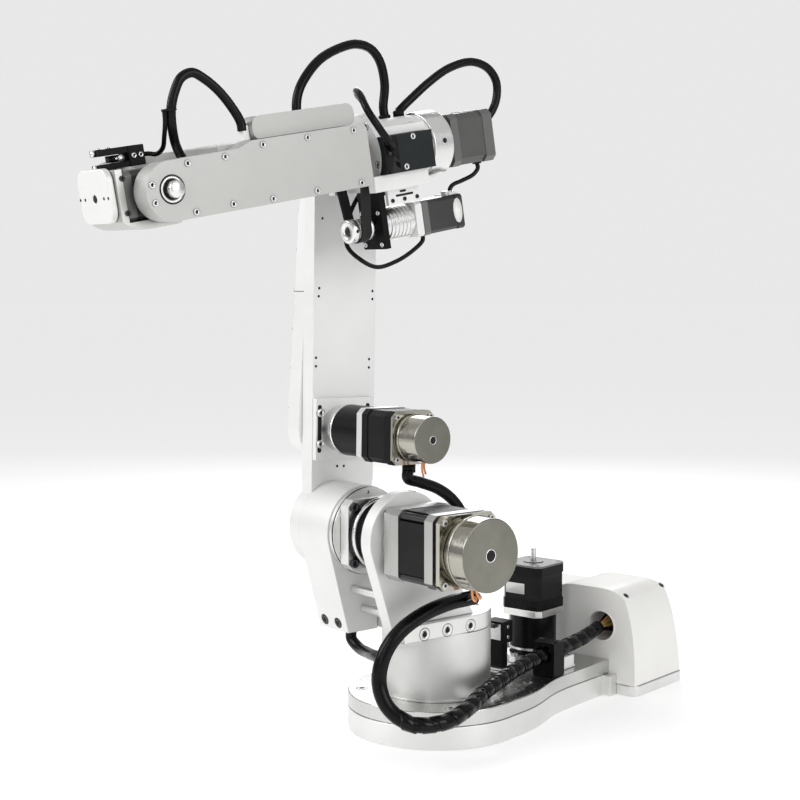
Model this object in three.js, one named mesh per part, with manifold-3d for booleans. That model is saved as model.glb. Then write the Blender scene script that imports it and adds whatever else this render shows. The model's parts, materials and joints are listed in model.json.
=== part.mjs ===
// A six-axis desktop robot arm on a keyhole base with a white electronics cover behind it.
// Millimetres, +Z up. The origin is on the floor under the first (vertical) axis, +X points
// away from the cover, +Y points to the side of the big shoulder motor.

import * as THREE from "three";
import { mergeVertices } from "three/addons/utils/BufferGeometryUtils.js";
import Module from "manifold-3d";

const wasm = await Module();
wasm.setup();

// ---------------------------------------------------------------- driving dimensions

const GAP = 0.3; // kept between touching pieces
const LINK = { // distances between the joint axes
  shoulderForward: 64.2,
  shoulderHeight: 169.77,
  upperArm: 305,
  forearm: 222.63,
  flange: 36.25,
};
const REST = { turret: -11.12, upperArm: -1.12, forearm: 10.09 }; // degrees
const NEMA = { // half width and corner chamfer of each motor frame size
  n11: { half: 14, chamfer: 2 },
  n17: { half: 21.15, chamfer: 4.2 },
  n23: { half: 28.2, chamfer: 4.6 },
};

const BASE = {
  radius: 74.2,
  neckHalf: 60,
  neckStart: -118,
  rearX: -176,
  seamZ: 18.4,
  topZ: 31,
  tabHalf: 68,
};
const COVER = { // the white cover of the electronics
  frontX: -178,
  backX: -262,
  sideY: 88,
  farY: -52,
  footZ: 9.5,
  lowZ: 87,
  topZ: 95,
};
const COLUMN = { radius: 45.6, topZ: 86.7 };
const DECK = { // the plate on the column that carries the shoulder
  radius: 45.8,
  frontX: 49,
  cheekX: 72,
  cheekY: 40.3,
  lowZ: 87,
  topZ: 100.6,
};
const SHOULDER = {
  housingY: [-55.7, -17],
  housingRadius: 36.8,
  boreRadius: 24.6,
  hubRadius: 24,
  capRadius: 35.5,
  flangeY: [-10, 0],
  motorPlateY: [28, 40],
  motorPlateRadius: 37.6,
  adapterY: [45.8, 52.7],
  motorY: [53, 111],
  brakeY: [111.3, 136.6],
  brakeRadius: 28.1,
};
const ARM = { // the flat upper arm member
  y: [-70, -56],
  frontX: 24.2,
  backX: -40.3,
  lowRadius: 36.5,
  topRadius: 32,
  coverY: [-87, -70.3],
  coverTopRadius: 16,
  coverLowRadius: 27.8,
};
const ELBOW_DRIVE = { // the motor on the upper arm that turns the elbow
  height: 80.3,
  mountY: [-55.7, -50.8],
  noseY: [-50.5, -36],
  gearboxY: [-36, -1],
  adapterY: [-0.7, 6],
  motorY: [6.3, 44.7],
  brakeY: [45, 68.5],
  brakeRadius: 18.4,
};
const ELBOW = {
  boreRadius: 16,
  shaftRadius: 15.4,
  coreRadius: 25,
  coreX: [-33.8, 12],
  discX: [12, 26.6],
  discRadius: 31.4,
  sideY: 30,
  topBar: { x: [-22, 22], z: [12.7, 19] },
  lowBar: { x: [-20, 35], z: [-29.3, -17] },
  coverX: [-23.4, 26.3],
  coverY: [30.3, 36.5],
  hubRadius: 22,
};
const ROLL_DRIVE = { // the small motor under the elbow and its belt
  drop: 57.3,
  bracketX: [14.6, 20],
  gearboxX: [-14.6, 14.3],
  plateX: [-22, -14.9],
  motorX: [-65.5, -22.3],
  pulleyX: [24.5, 45.5],
  pulleyRadius: 8.4,
  beltX: [29, 38],
  beltThickness: 1.6,
  drivenRadius: 18.5,
};
const FOREARM = {
  rearX: 47,
  frontHalfY: [27.6, 44.5],
  bodyY: [-38, 27.3],
  forkY: -22,
  slotX: 170,
  lowZ: -22,
  bodyTopZ: 23.8,
  endRadius: 21,
  humpX: [52, 145],
  humpY: [24, 38],
  humpTopZ: 41.3,
};
const PITCH_MOTOR = { collarX: [-54.2, -34.1], collarRadius: 26.6, motorX: [-102.65, -57.1] };
const WRIST = { axleY: [24.8, 52], axleRadius: 5.5, lowZ: -25, discX: [31.2, 36.25] };

// ---------------------------------------------------------------- materials

const metal = (color, roughness) => new THREE.MeshStandardMaterial({ color, roughness, metalness: 1 });
const plastic = (color, roughness) => new THREE.MeshStandardMaterial({ color, roughness, metalness: 0 });
const ALUMINIUM = metal(0xd4d4d0, 0.38);
const POLISHED = metal(0xc9c9c4, 0.18);
const NICKEL = metal(0x9a9684, 0.15);
const WHITE_PAINT = plastic(0xe9e9e6, 0.45);
const WHITE_PLASTIC = plastic(0xeceae4, 0.4);
const BLACK_PAINT = plastic(0x141414, 0.35);
const DARK_GREY = plastic(0x3b3b3d, 0.45);
const BLACK_PLASTIC = plastic(0x0e0e0f, 0.5);
const RUBBER = plastic(0x0a0a0b, 0.6);

// ---------------------------------------------------------------- geometry helpers

const rad = THREE.MathUtils.degToRad;

function solid(geometry) {
  const bare = geometry.clone();
  bare.deleteAttribute("normal");
  bare.deleteAttribute("uv");
  const merged = mergeVertices(bare, 1e-4);
  return new wasm.Manifold(new wasm.Mesh({
    numProp: 3,
    vertProperties: new Float32Array(merged.attributes.position.array),
    triVerts: new Uint32Array(merged.index.array),
  }));
}

function surface(manifold) {
  const mesh = manifold.getMesh();
  const geometry = new THREE.BufferGeometry();
  geometry.setAttribute("position", new THREE.BufferAttribute(mesh.vertProperties, 3));
  geometry.setIndex(new THREE.BufferAttribute(mesh.triVerts, 1));
  return geometry;
}

const join = (first, ...others) => surface(others.reduce((all, g) => all.add(solid(g)), solid(first)));
const cut = (first, ...tools) => surface(tools.reduce((all, g) => all.subtract(solid(g)), solid(first)));

function box([x0, x1], [y0, y1], [z0, z1]) {
  const geometry = new THREE.BoxGeometry(x1 - x0, y1 - y0, z1 - z0);
  return geometry.translate((x0 + x1) / 2, (y0 + y1) / 2, (z0 + z1) / 2);
}

function extrude(shape, depth, curveSegments = 8) {
  return new THREE.ExtrudeGeometry(shape, { depth, bevelEnabled: false, curveSegments });
}

// A shape drawn in X-Z, as thick as the span along Y.
function wallY(shape, [y0, y1], curveSegments) {
  return extrude(shape, y1 - y0, curveSegments).rotateX(Math.PI / 2).translate(0, y1, 0);
}

// A shape drawn in X-Y, as thick as the span along Z.
function wallZ(shape, [z0, z1], curveSegments) {
  return extrude(shape, z1 - z0, curveSegments).translate(0, 0, z0);
}

// A shape drawn in Y-Z, as thick as the span along X.
function wallX(shape, [x0, x1], curveSegments) {
  const turn = new THREE.Matrix4().makeBasis(
    new THREE.Vector3(0, 1, 0),
    new THREE.Vector3(0, 0, 1),
    new THREE.Vector3(1, 0, 0),
  );
  return extrude(shape, x1 - x0, curveSegments).applyMatrix4(turn).translate(x0, 0, 0);
}

function drum(radius, length, sides) {
  return new THREE.CylinderGeometry(radius, radius, length, sides);
}

function drumY(radius, [y0, y1], sides = 32) {
  return drum(radius, y1 - y0, sides).translate(0, (y0 + y1) / 2, 0);
}

function drumZ(radius, [z0, z1], sides = 32) {
  return drum(radius, z1 - z0, sides).rotateX(Math.PI / 2).translate(0, 0, (z0 + z1) / 2);
}

function drumX(radius, [x0, x1], sides = 32) {
  return drum(radius, x1 - x0, sides).rotateZ(-Math.PI / 2).translate((x0 + x1) / 2, 0, 0);
}

function outline(points) {
  return new THREE.Shape(points.map(([x, y]) => new THREE.Vector2(x, y)));
}

function square({ half, chamfer }) {
  const flat = half - chamfer;
  return outline([
    [half, -flat], [half, flat], [flat, half], [-flat, half],
    [-half, flat], [-half, -flat], [-flat, -half], [flat, -half],
  ]);
}

function roundRect([x0, x1], [y0, y1], r) {
  const shape = new THREE.Shape();
  shape.moveTo(x0 + r, y0);
  shape.lineTo(x1 - r, y0);
  shape.absarc(x1 - r, y0 + r, r, -Math.PI / 2, 0, false);
  shape.lineTo(x1, y1 - r);
  shape.absarc(x1 - r, y1 - r, r, 0, Math.PI / 2, false);
  shape.lineTo(x0 + r, y1);
  shape.absarc(x0 + r, y1 - r, r, Math.PI / 2, Math.PI, false);
  shape.lineTo(x0, y0 + r);
  shape.absarc(x0 + r, y0 + r, r, Math.PI, 1.5 * Math.PI, false);
  return shape;
}

// The outline of a belt around two wheels, the second one straight above the first.
function beltOutline(lowRadius, lowY, highRadius, highY, make = THREE.Shape) {
  const lean = Math.asin((lowRadius - highRadius) / (highY - lowY));
  const shape = new make();
  shape.absarc(0, highY, highRadius, lean, Math.PI - lean, false);
  shape.absarc(0, lowY, lowRadius, Math.PI - lean, 2 * Math.PI + lean, false);
  return shape;
}

function tube(points, radius, sides = 10) {
  const route = new THREE.CatmullRomCurve3(points.map((p) => new THREE.Vector3(...p)), false, "centripetal");
  const steps = Math.min(48, Math.max(8, Math.round(route.getLength() / (4.4 * radius))));
  const section = new THREE.Shape();
  for (let i = 0; i < sides; i += 1) {
    const turn = (2 * Math.PI * i) / sides;
    const point = [radius * Math.cos(turn), radius * Math.sin(turn)];
    if (i === 0) section.moveTo(...point);
    else section.lineTo(...point);
  }
  return new THREE.ExtrudeGeometry(section, { steps, extrudePath: route, bevelEnabled: false });
}

// ---------------------------------------------------------------- the frames of the moving bodies

const robot = new THREE.Group();
const turret = new THREE.Group();
const upperArm = new THREE.Group();
const elbow = new THREE.Group();
const wrist = new THREE.Group();
turret.rotation.z = rad(REST.turret);
upperArm.position.set(LINK.shoulderForward, 0, LINK.shoulderHeight);
upperArm.rotation.y = rad(REST.upperArm);
elbow.position.z = LINK.upperArm;
elbow.rotation.y = rad(REST.forearm - REST.upperArm);
wrist.position.x = LINK.forearm;
robot.add(turret);
turret.add(upperArm);
upperArm.add(elbow);
elbow.add(wrist);

function add(group, name, geometry, material, [x, y, z] = [0, 0, 0]) {
  const mesh = new THREE.Mesh(geometry, material);
  mesh.name = name;
  mesh.position.set(x, y, z);
  group.add(mesh);
}

// ---------------------------------------------------------------- base

// The keyhole outline of the base: a round front and a straight neck that ends at the rear.
function keyhole() {
  const { radius, neckHalf, neckStart, rearX } = BASE;
  const leave = rad(97);
  const from = [radius * Math.cos(leave), radius * Math.sin(leave)];
  const ease = (neckStart - from[0]) / 2;
  const shape = new THREE.Shape();
  shape.absarc(0, 0, radius, -leave, leave, false);
  shape.bezierCurveTo(from[0] + ease, from[1] + 2, neckStart - ease, neckHalf, neckStart, neckHalf);
  shape.lineTo(rearX, neckHalf);
  shape.lineTo(rearX, -neckHalf);
  shape.lineTo(neckStart, -neckHalf);
  shape.bezierCurveTo(neckStart - ease, -neckHalf, from[0] + ease, -from[1] - 2, from[0], -from[1]);
  return shape;
}

function basePlates() {
  const tab = box([-176, -166], [-BASE.tabHalf, BASE.tabHalf], [0, BASE.seamZ]);
  add(robot, "base_plate", join(wallZ(keyhole(), [0, BASE.seamZ], 16), tab), ALUMINIUM);
  add(robot, "base_top_plate", wallZ(keyhole(), [BASE.seamZ + GAP, BASE.topZ], 16), POLISHED);
}

function electronicsCover() {
  const { frontX, backX, sideY, farY, footZ, lowZ, topZ } = COVER;
  const foot = roundRect([backX, frontX + 1.7], [farY, sideY], 9);
  add(robot, "cover_foot", wallZ(foot, [0, footZ], 4), ALUMINIUM);
  // The loaf section across the cover: the near side leans in and rounds over, the far side is low.
  const loaf = new THREE.Shape();
  loaf.moveTo(farY, footZ + GAP);
  loaf.lineTo(sideY - 1, footZ + GAP);
  loaf.quadraticCurveTo(sideY - 1, 62, sideY - 12, lowZ - 1);
  loaf.quadraticCurveTo(sideY - 18, topZ, 48, topZ);
  loaf.lineTo(22, topZ);
  loaf.quadraticCurveTo(8, topZ, 2, lowZ);
  loaf.lineTo(farY + 12, lowZ);
  loaf.quadraticCurveTo(farY, lowZ, farY, lowZ - 12);
  const hole = drumX(14, [frontX - 30, frontX + 5], 24).translate(0, 51, 60.4);
  const body = wallX(loaf, [backX + 2, frontX + 1.7], 6);
  const back = box([backX - 20, backX], [-200, 200], [-20, 150]).rotateY(rad(7));
  back.translate(2.5, 0, -32);
  add(robot, "electronics_cover", cut(body, hole, back), WHITE_PLASTIC);
}

function turretMotor() {
  const at = [-142, 0, 0];
  const nose = join(drumZ(20, [BASE.topZ + GAP, 42], 28), drumZ(21, [41.5, 71], 28));
  add(robot, "j1_gearbox", nose, BLACK_PAINT, at);
  add(robot, "j1_adapter_plate", wallZ(square(NEMA.n17), [71.3, 77.4]), ALUMINIUM, at);
  const body = join(wallZ(square(NEMA.n17), [77.7, 118]), drumZ(2.5, [117, 130], 12));
  add(robot, "j1_motor", body, BLACK_PAINT, at);
}

function baseFittings() {
  add(robot, "cable_clamp", cableClamp(), BLACK_PLASTIC);
  add(robot, "wire_terminal", box([-134, -118], [28, 50], [BASE.topZ + GAP, 42]), WHITE_PLASTIC);
  const post = box([-90, -82], [-7, 9], [BASE.topZ + GAP, 56]);
  const head = box([-95, -80], [-9, 11], [55, 74]);
  add(robot, "j1_limit_switch", join(post, head), BLACK_PLASTIC);
}

function cableClamp() {
  const block = box([-104, -88], [37.6, 59.4], [BASE.topZ + GAP, 60.8]);
  const passage = drumX(8, [-120, -70], 20).translate(0, 48.5, 50.4);
  return cut(block, passage);
}

// ---------------------------------------------------------------- turret and shoulder

function deck() {
  const { radius, frontX, cheekX, cheekY, lowZ, topZ } = DECK;
  const shape = new THREE.Shape();
  shape.absarc(0, 0, radius, Math.PI / 2, 1.5 * Math.PI, false);
  shape.lineTo(frontX, -radius);
  shape.lineTo(frontX, cheekY);
  shape.lineTo(cheekX, cheekY);
  shape.lineTo(cheekX, radius);
  return wallZ(shape, [lowZ, topZ], 20);
}

// A side plate with a round head on the shoulder axis and a leg that stands on the deck.
function sidePlate(headRadius, footFront, footBack, footZ, bore, span) {
  const { shoulderForward: x, shoulderHeight: z } = LINK;
  const { frontX, topZ } = DECK;
  const tangent = rad(-12);
  const rearTangent = rad(196);
  const shape = new THREE.Shape();
  shape.absarc(x, z, headRadius, tangent, rearTangent, false);
  shape.lineTo(footBack, topZ + GAP);
  shape.lineTo(frontX + GAP, topZ + GAP);
  shape.lineTo(frontX + GAP, footZ);
  shape.lineTo(footFront, footZ);
  if (bore) {
    shape.holes.push(new THREE.Path().absarc(x, z, bore, 0, 2 * Math.PI, true));
  }
  return wallY(shape, span, 24);
}

function shoulder() {
  const s = SHOULDER;
  const axis = [LINK.shoulderForward, 0, LINK.shoulderHeight];
  add(turret, "turret_column", drumZ(COLUMN.radius, [BASE.topZ + GAP, COLUMN.topZ], 48), ALUMINIUM);
  add(turret, "turret_deck", deck(), ALUMINIUM);
  const housing = sidePlate(s.housingRadius, 79.5, 12, 86, s.boreRadius, s.housingY);
  add(turret, "j2_bearing_housing", housing, WHITE_PAINT);
  add(turret, "j2_bearing_cap", drumY(s.capRadius, [-16.7, -10.3], 36), ALUMINIUM, axis);
  const flange = wallY(square({ half: 28.5, chamfer: 5 }), s.flangeY);
  add(turret, "j2_gearbox_flange", flange, ALUMINIUM, axis);
  const barrel = join(drumY(29, [GAP, 6], 32), drumY(26, [5.5, 27.7], 32));
  add(turret, "j2_gearbox", barrel, BLACK_PAINT, axis);
  const plate = sidePlate(s.motorPlateRadius, 75, -6, 84, 0, s.motorPlateY);
  add(turret, "j2_motor_plate", plate, WHITE_PAINT);
  const spacer = drumY(26.5, [40.3, 45.5], 28);
  const adapter = join(spacer, wallY(square(NEMA.n23), [45, s.adapterY[1]]));
  add(turret, "j2_adapter_plate", adapter, ALUMINIUM, axis);
  add(turret, "j2_motor", wallY(square(NEMA.n23), s.motorY), BLACK_PAINT, axis);
  const brake = join(drumY(24.5, [s.brakeY[0], 118], 28), drumY(s.brakeRadius, [117.5, s.brakeY[1]], 40));
  add(turret, "j2_brake", brake, NICKEL, axis);
  for (const [name, x, z] of [["plate_spacer_high", 74, 122], ["plate_spacer_low", 64, 104.8]]) {
    add(turret, name, drumY(3.6, [-16.7, 27.7], 14), ALUMINIUM, [x, 0, z]);
  }
}

// ---------------------------------------------------------------- upper arm

function armMember() {
  const { frontX, backX, lowRadius, topRadius, y } = ARM;
  const front = Math.acos(frontX / lowRadius);
  const top = LINK.upperArm;
  const shape = new THREE.Shape();
  shape.absarc(0, 0, lowRadius, Math.PI * 0.94, 2 * Math.PI + front, false);
  shape.lineTo(frontX, top - 14);
  shape.absarc(0, top, topRadius, rad(-15), rad(195), false);
  shape.lineTo(backX, top - 30);
  shape.lineTo(backX, 36);
  return wallY(shape, y, 16);
}

function beltCover() {
  const shape = beltOutline(ARM.coverLowRadius, ELBOW_DRIVE.height, ARM.coverTopRadius, LINK.upperArm);
  return wallY(shape, ARM.coverY, 16);
}

function upperArmPieces() {
  const d = ELBOW_DRIVE;
  const axis = [0, 0, d.height];
  add(upperArm, "upper_arm_plate", armMember(), WHITE_PAINT);
  add(upperArm, "upper_arm_belt_cover", beltCover(), WHITE_PAINT);
  add(upperArm, "j2_hub", drumY(SHOULDER.hubRadius, [-55.7, -17.2], 32), ALUMINIUM);
  const mount = outline([[-35, -25.5], [24, -25.5], [24, 25.5], [-35, 25.5]]);
  add(upperArm, "j3_motor_mount", wallY(mount, d.mountY), WHITE_PAINT, axis);
  const gearbox = join(drumY(17.6, d.noseY, 28), drumY(21, [d.noseY[1] - 0.5, -1], 32));
  add(upperArm, "j3_gearbox", gearbox, BLACK_PAINT, axis);
  add(upperArm, "j3_adapter_plate", wallY(square(NEMA.n17), d.adapterY), ALUMINIUM, axis);
  add(upperArm, "j3_motor", wallY(square(NEMA.n17), d.motorY), BLACK_PAINT, axis);
  add(upperArm, "j3_brake", drumY(d.brakeRadius, d.brakeY, 36), NICKEL, axis);
}

// ---------------------------------------------------------------- elbow

function elbowHousing() {
  const e = ELBOW;
  const side = [-e.sideY, e.sideY];
  const whole = join(
    drumX(e.coreRadius, e.coreX, 36),
    drumX(e.discRadius, e.discX, 40),
    box(e.topBar.x, side, e.topBar.z),
    box(e.lowBar.x, side, e.lowBar.z),
  );
  const bore = drumX(e.boreRadius, [-60, 60], 32);
  const beltNotch = box([26.6, 40], [-22, 22], [-40, -10]);
  const below = box([-60, 60], [-60, 60], [-60, e.lowBar.z[0]]);
  return cut(whole, bore, beltNotch, below);
}

function elbowPieces() {
  const e = ELBOW;
  add(elbow, "elbow_housing", elbowHousing(), WHITE_PAINT);
  const coverShell = cut(
    box(e.coverX, [18, e.coverY[1]], [-16.6, 12.4]),
    drumX(e.coreRadius + GAP, [-60, 60], 36),
    drumX(e.discRadius + GAP, [12 - GAP, 60], 40),
  );
  add(elbow, "elbow_side_cover", coverShell, BLACK_PLASTIC);
  const hub = cut(
    drumY(e.hubRadius, [-55.7, -e.sideY - GAP], 32),
    drumX(e.discRadius + GAP, [12 - GAP, 60], 40),
  );
  add(elbow, "j3_hub", hub, ALUMINIUM);
}

function rollDrive() {
  const r = ROLL_DRIVE;
  const axis = [0, 0, -r.drop];
  const plate = box(r.bracketX, [-14, 14], [-18, 27.7]);
  const foot = box([-8, r.bracketX[1]], [-14, 14], [23.7, 27.7]);
  const hole = drumX(4.5, [0, 40], 16);
  add(elbow, "j4_bracket", cut(join(plate, foot), hole), BLACK_PAINT, axis);
  const gearbox = drumX(13.6, r.gearboxX, 28);
  const shaft = drumX(4, [r.gearboxX[1] - 1, 24.2], 14);
  add(elbow, "j4_gearbox", join(gearbox, shaft), ALUMINIUM, axis);
  add(elbow, "j4_adapter_plate", wallX(square(NEMA.n11), r.plateX), WHITE_PAINT, axis);
  add(elbow, "j4_motor", wallX(square(NEMA.n11), r.motorX), DARK_GREY, axis);
  const [x0, x1] = r.pulleyX;
  const pulley = join(
    drumX(9.4, [x0, 27.5], 24),
    drumX(r.pulleyRadius, [27, 39.5], 24),
    drumX(9.4, [39, x1], 24),
  );
  add(elbow, "j4_motor_pulley", pulley, ALUMINIUM, axis);
  add(elbow, "j4_belt", rollBelt(), RUBBER);
}

function rollBelt() {
  const r = ROLL_DRIVE;
  const loop = (out, make) => beltOutline(r.pulleyRadius + out, -r.drop, r.drivenRadius + out, 0, make);
  const shape = loop(GAP + r.beltThickness, THREE.Shape);
  shape.holes.push(loop(GAP, THREE.Path));
  return wallX(shape, r.beltX, 12);
}

// ---------------------------------------------------------------- forearm

// The side outline of the bolted front half: a step down behind the hump and a round wrist end.
function frontOutline() {
  const { rearX, lowZ } = FOREARM;
  const shape = new THREE.Shape();
  shape.moveTo(rearX + 6, lowZ);
  shape.lineTo(LINK.forearm, lowZ);
  shape.absarc(LINK.forearm, -1, 20.8, rad(-88), rad(90), false);
  shape.lineTo(164, 20.4);
  shape.lineTo(152, 24.7);
  shape.lineTo(rearX + 6, 24.7);
  shape.quadraticCurveTo(rearX, 24.7, rearX, 19);
  shape.lineTo(rearX, lowZ + 6);
  shape.quadraticCurveTo(rearX, lowZ, rearX + 6, lowZ);
  shape.holes.push(new THREE.Path().absarc(LINK.forearm, 0, 7.2, 0, 2 * Math.PI, true));
  return shape;
}

function forearmBody() {
  const { rearX, lowZ, bodyTopZ, bodyY, forkY, slotX, endRadius } = FOREARM;
  const side = new THREE.Shape();
  side.moveTo(rearX, lowZ);
  side.lineTo(LINK.forearm, lowZ);
  side.absarc(LINK.forearm, bodyTopZ - endRadius - 1.2, endRadius + 1.2, rad(-88), rad(90), false);
  side.lineTo(rearX, bodyTopZ);
  const slot = box([slotX, 300], [forkY, 60], [-60, 60]);
  return cut(wallY(side, bodyY, 12), slot);
}

function forearmPieces() {
  const f = FOREARM;
  const r = ROLL_DRIVE;
  const m = PITCH_MOTOR;
  add(elbow, "forearm_body", forearmBody(), ALUMINIUM);
  add(elbow, "forearm_front_cover", wallY(frontOutline(), f.frontHalfY, 12), ALUMINIUM);
  const hump = roundRect(f.humpX, [f.bodyTopZ + GAP, f.humpTopZ], 7);
  const aboveCover = box([40, 160], [27.6, 60], [0, 25]);
  add(elbow, "forearm_cable_cover", cut(wallY(hump, f.humpY, 5), aboveCover), ALUMINIUM);
  const collar = drumX(m.collarRadius, m.collarX, 40);
  const shaft = drumX(ELBOW.shaftRadius, [m.collarX[1] - 1, f.rearX - GAP], 32);
  add(elbow, "j4_shaft_collar", join(collar, shaft), POLISHED);
  const driven = cut(drumX(r.drivenRadius, [27.6, 42], 32), drumX(ELBOW.shaftRadius + GAP, [0, 60], 32));
  add(elbow, "j4_driven_pulley", driven, ALUMINIUM);
  const spacer = drumX(18, [-56.8, m.collarX[0] - GAP], 24);
  add(elbow, "j5_motor", join(wallX(square(NEMA.n17), m.motorX), spacer.translate(-0.5, 0, 0)), BLACK_PAINT);
}

// ---------------------------------------------------------------- wrist and tool flange

function wristYoke() {
  const side = new THREE.Shape();
  side.moveTo(-12, WRIST.lowZ);
  side.lineTo(12, WRIST.lowZ);
  side.quadraticCurveTo(24, WRIST.lowZ + 0.5, 31, -17.5);
  side.lineTo(31, 18.5);
  side.absarc(0, 0, 18.5, Math.PI / 2, Math.PI, false);
  side.lineTo(-18.5, -18);
  side.quadraticCurveTo(-18.5, WRIST.lowZ, -12, WRIST.lowZ);
  const pocket = box([-15, 25.5], [-14.6, 60], [-18.6, 60]);
  return cut(wallY(side, [-21.5, 24.5], 8), pocket);
}

function limitBracket() {
  const web = box([-4.6, 8], [-7, 8], [18.8, 33]);
  const high = box([7, 31], [-6, 7], [28.4, 33]);
  const low = box([7, 31], [-6, 7], [18.8, 22.6]);
  return join(web, high, low);
}

function wristPieces() {
  add(wrist, "wrist_yoke", wristYoke(), ALUMINIUM);
  const motor = box([-11, 25.2], [-14.3, 24], [-18.3, 16.4]);
  add(wrist, "j6_motor", motor, DARK_GREY);
  add(wrist, "wrist_axle", drumY(WRIST.axleRadius, WRIST.axleY, 24), POLISHED);
  add(wrist, "wrist_limit_bracket", limitBracket(), BLACK_PLASTIC);
  const face = roundRect([-21.5, 21.5], [-17.4, 20.4], 9);
  face.holes.push(new THREE.Path().absarc(0, 0, 3, 0, 2 * Math.PI, true));
  add(wrist, "tool_flange", wallX(face, WRIST.discX, 5), WHITE_PAINT);
}

// ---------------------------------------------------------------- cables

// Each route is a list of points in the frame of the group that the cable lies in.
const ROUTES = [
  {
    name: "cable_harness", group: robot, radius: 6.6,
    points: [
      [-172, 51, 60], [-152, 50, 55], [-114, 49, 51], [-84, 48, 49], [-52, 50, 47], [-16, 56, 44],
      [20, 63, 41], [52, 72, 37], [82, 72, 33], [104, 58, 34], [113, 42, 46], [114, 34, 64],
      [110, 35, 84], [98, 39, 100], [76, 45, 112], [48, 51, 118], [22, 56, 119],
    ],
  },
  {
    name: "cable_shoulder_branch", group: turret, radius: 4.6,
    points: [
      [71, -24.6, 85.2], [71, -24.4, 79.4], [71.6, -13, 73.4], [77, 4, 74],
      [85, 20, 76.5], [92, 35, 79], [96, 45.5, 79.6],
    ],
  },
  {
    name: "cable_j3_motor", group: turret, radius: 4.6,
    points: [
      [64, 40, 224], [64, 40, 218], [53, 41, 214], [35, 43, 207], [22, 46, 197], [13, 49, 182],
      [9, 52, 160], [10, 54, 140], [15, 55, 127.5],
    ],
  },
  {
    name: "cable_wrist_loop", group: elbow, radius: 3.5,
    points: [
      [149.4, 31, 32], [149.6, 31, 38], [153.6, 31, 47], [162.9, 30, 61.6], [173.1, 29, 71.7],
      [181.5, 28, 76.8], [190.5, 27, 74.3], [197.4, 26, 64.7], [201.3, 25, 54.2],
      [201.6, 23, 44.6], [198.6, 18, 34],
      [193.5, 12, 26], [187, 7, 17], [181, 4, 8],
    ],
  },
  {
    name: "cable_limit_switch", group: elbow, radius: 1.7,
    points: [
      [207, 25, 54], [206.9, 23.4, 46], [206.4, 18.5, 36.5], [205.8, 12.5, 28], [208, 7, 24.6],
      [212.5, 3, 25.6], [217.5, 1, 25.8],
    ],
  },
  {
    name: "cable_forearm_loop", group: elbow, radius: 3.7,
    points: [
      [80, 5, 24.4], [80.2, 5, 33], [79.8, 5, 44], [76.7, 5, 53],
      [68.4, 4, 63], [50.1, 2, 76], [27.8, 0, 83.2],
      [9, -2, 85], [-7.6, -5, 80], [-17.4, -8, 69.2], [-20.5, -10, 51], [-17.6, -12, 34], [-17.5, -12, 27],
    ],
  },
  {
    name: "cable_elbow_cover", group: elbow, radius: 2.9,
    points: [
      [-6, -15, 27], [4, -9, 40], [14, -2, 46], [26, 12, 49.5], [36, 29, 45], [41, 41, 34],
      [37, 46, 21], [28, 44, 10], [20, 40.2, 4],
    ],
  },
  {
    name: "cable_j5_motor", group: elbow, radius: 3.5,
    points: [
      [-27.5, -6, 28.6], [-33, -4, 33], [-42, -3, 38.5], [-59, 0, 48.6], [-80.6, 2, 57.6], [-103.6, 4, 60.2],
      [-119.8, 5, 53.7], [-128, 5, 41.4], [-126, 4, 26], [-117, 2, 14], [-107.5, 2, 11], [-103.1, 2, 11],
    ],
  },
  {
    name: "cable_j5_to_j4", group: elbow, radius: 1.8,
    points: [
      [-92.2, 8, -21.6], [-92.6, 8, -26], [-87.9, 7, -30.6], [-75.9, 6, -33.8], [-65.2, 5, -36.2],
      [-61.6, 5, -39.5], [-61.5, 5, -42.9],
    ],
  },
  {
    name: "cable_j4_motor", group: elbow, radius: 1.8,
    points: [
      [-30.6, 0, -71.8], [-30, 0, -76], [-17, 0, -83], [2.2, 0, -88.4], [20.3, -1, -89.3], [31.7, -5, -81.7],
      [35, -16, -70], [32, -18, -57], [26.6, -18, -46], [20.5, -18, -38], [14, -18, -31.5],
    ],
  },
];

function cables() {
  for (const { name, group, radius, points } of ROUTES) {
    add(group, name, tube(points, radius, radius < 2 ? 8 : 10), RUBBER);
  }
}

basePlates();
electronicsCover();
turretMotor();
baseFittings();
shoulder();
upperArmPieces();
elbowPieces();
rollDrive();
forearmPieces();
wristPieces();
cables();

export default robot;
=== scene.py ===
"""A six-axis desktop robot arm: its looks, built in Blender 4.5 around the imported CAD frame."""

import json
import math

import bmesh
import bpy
from mathutils import Matrix, Vector

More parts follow.
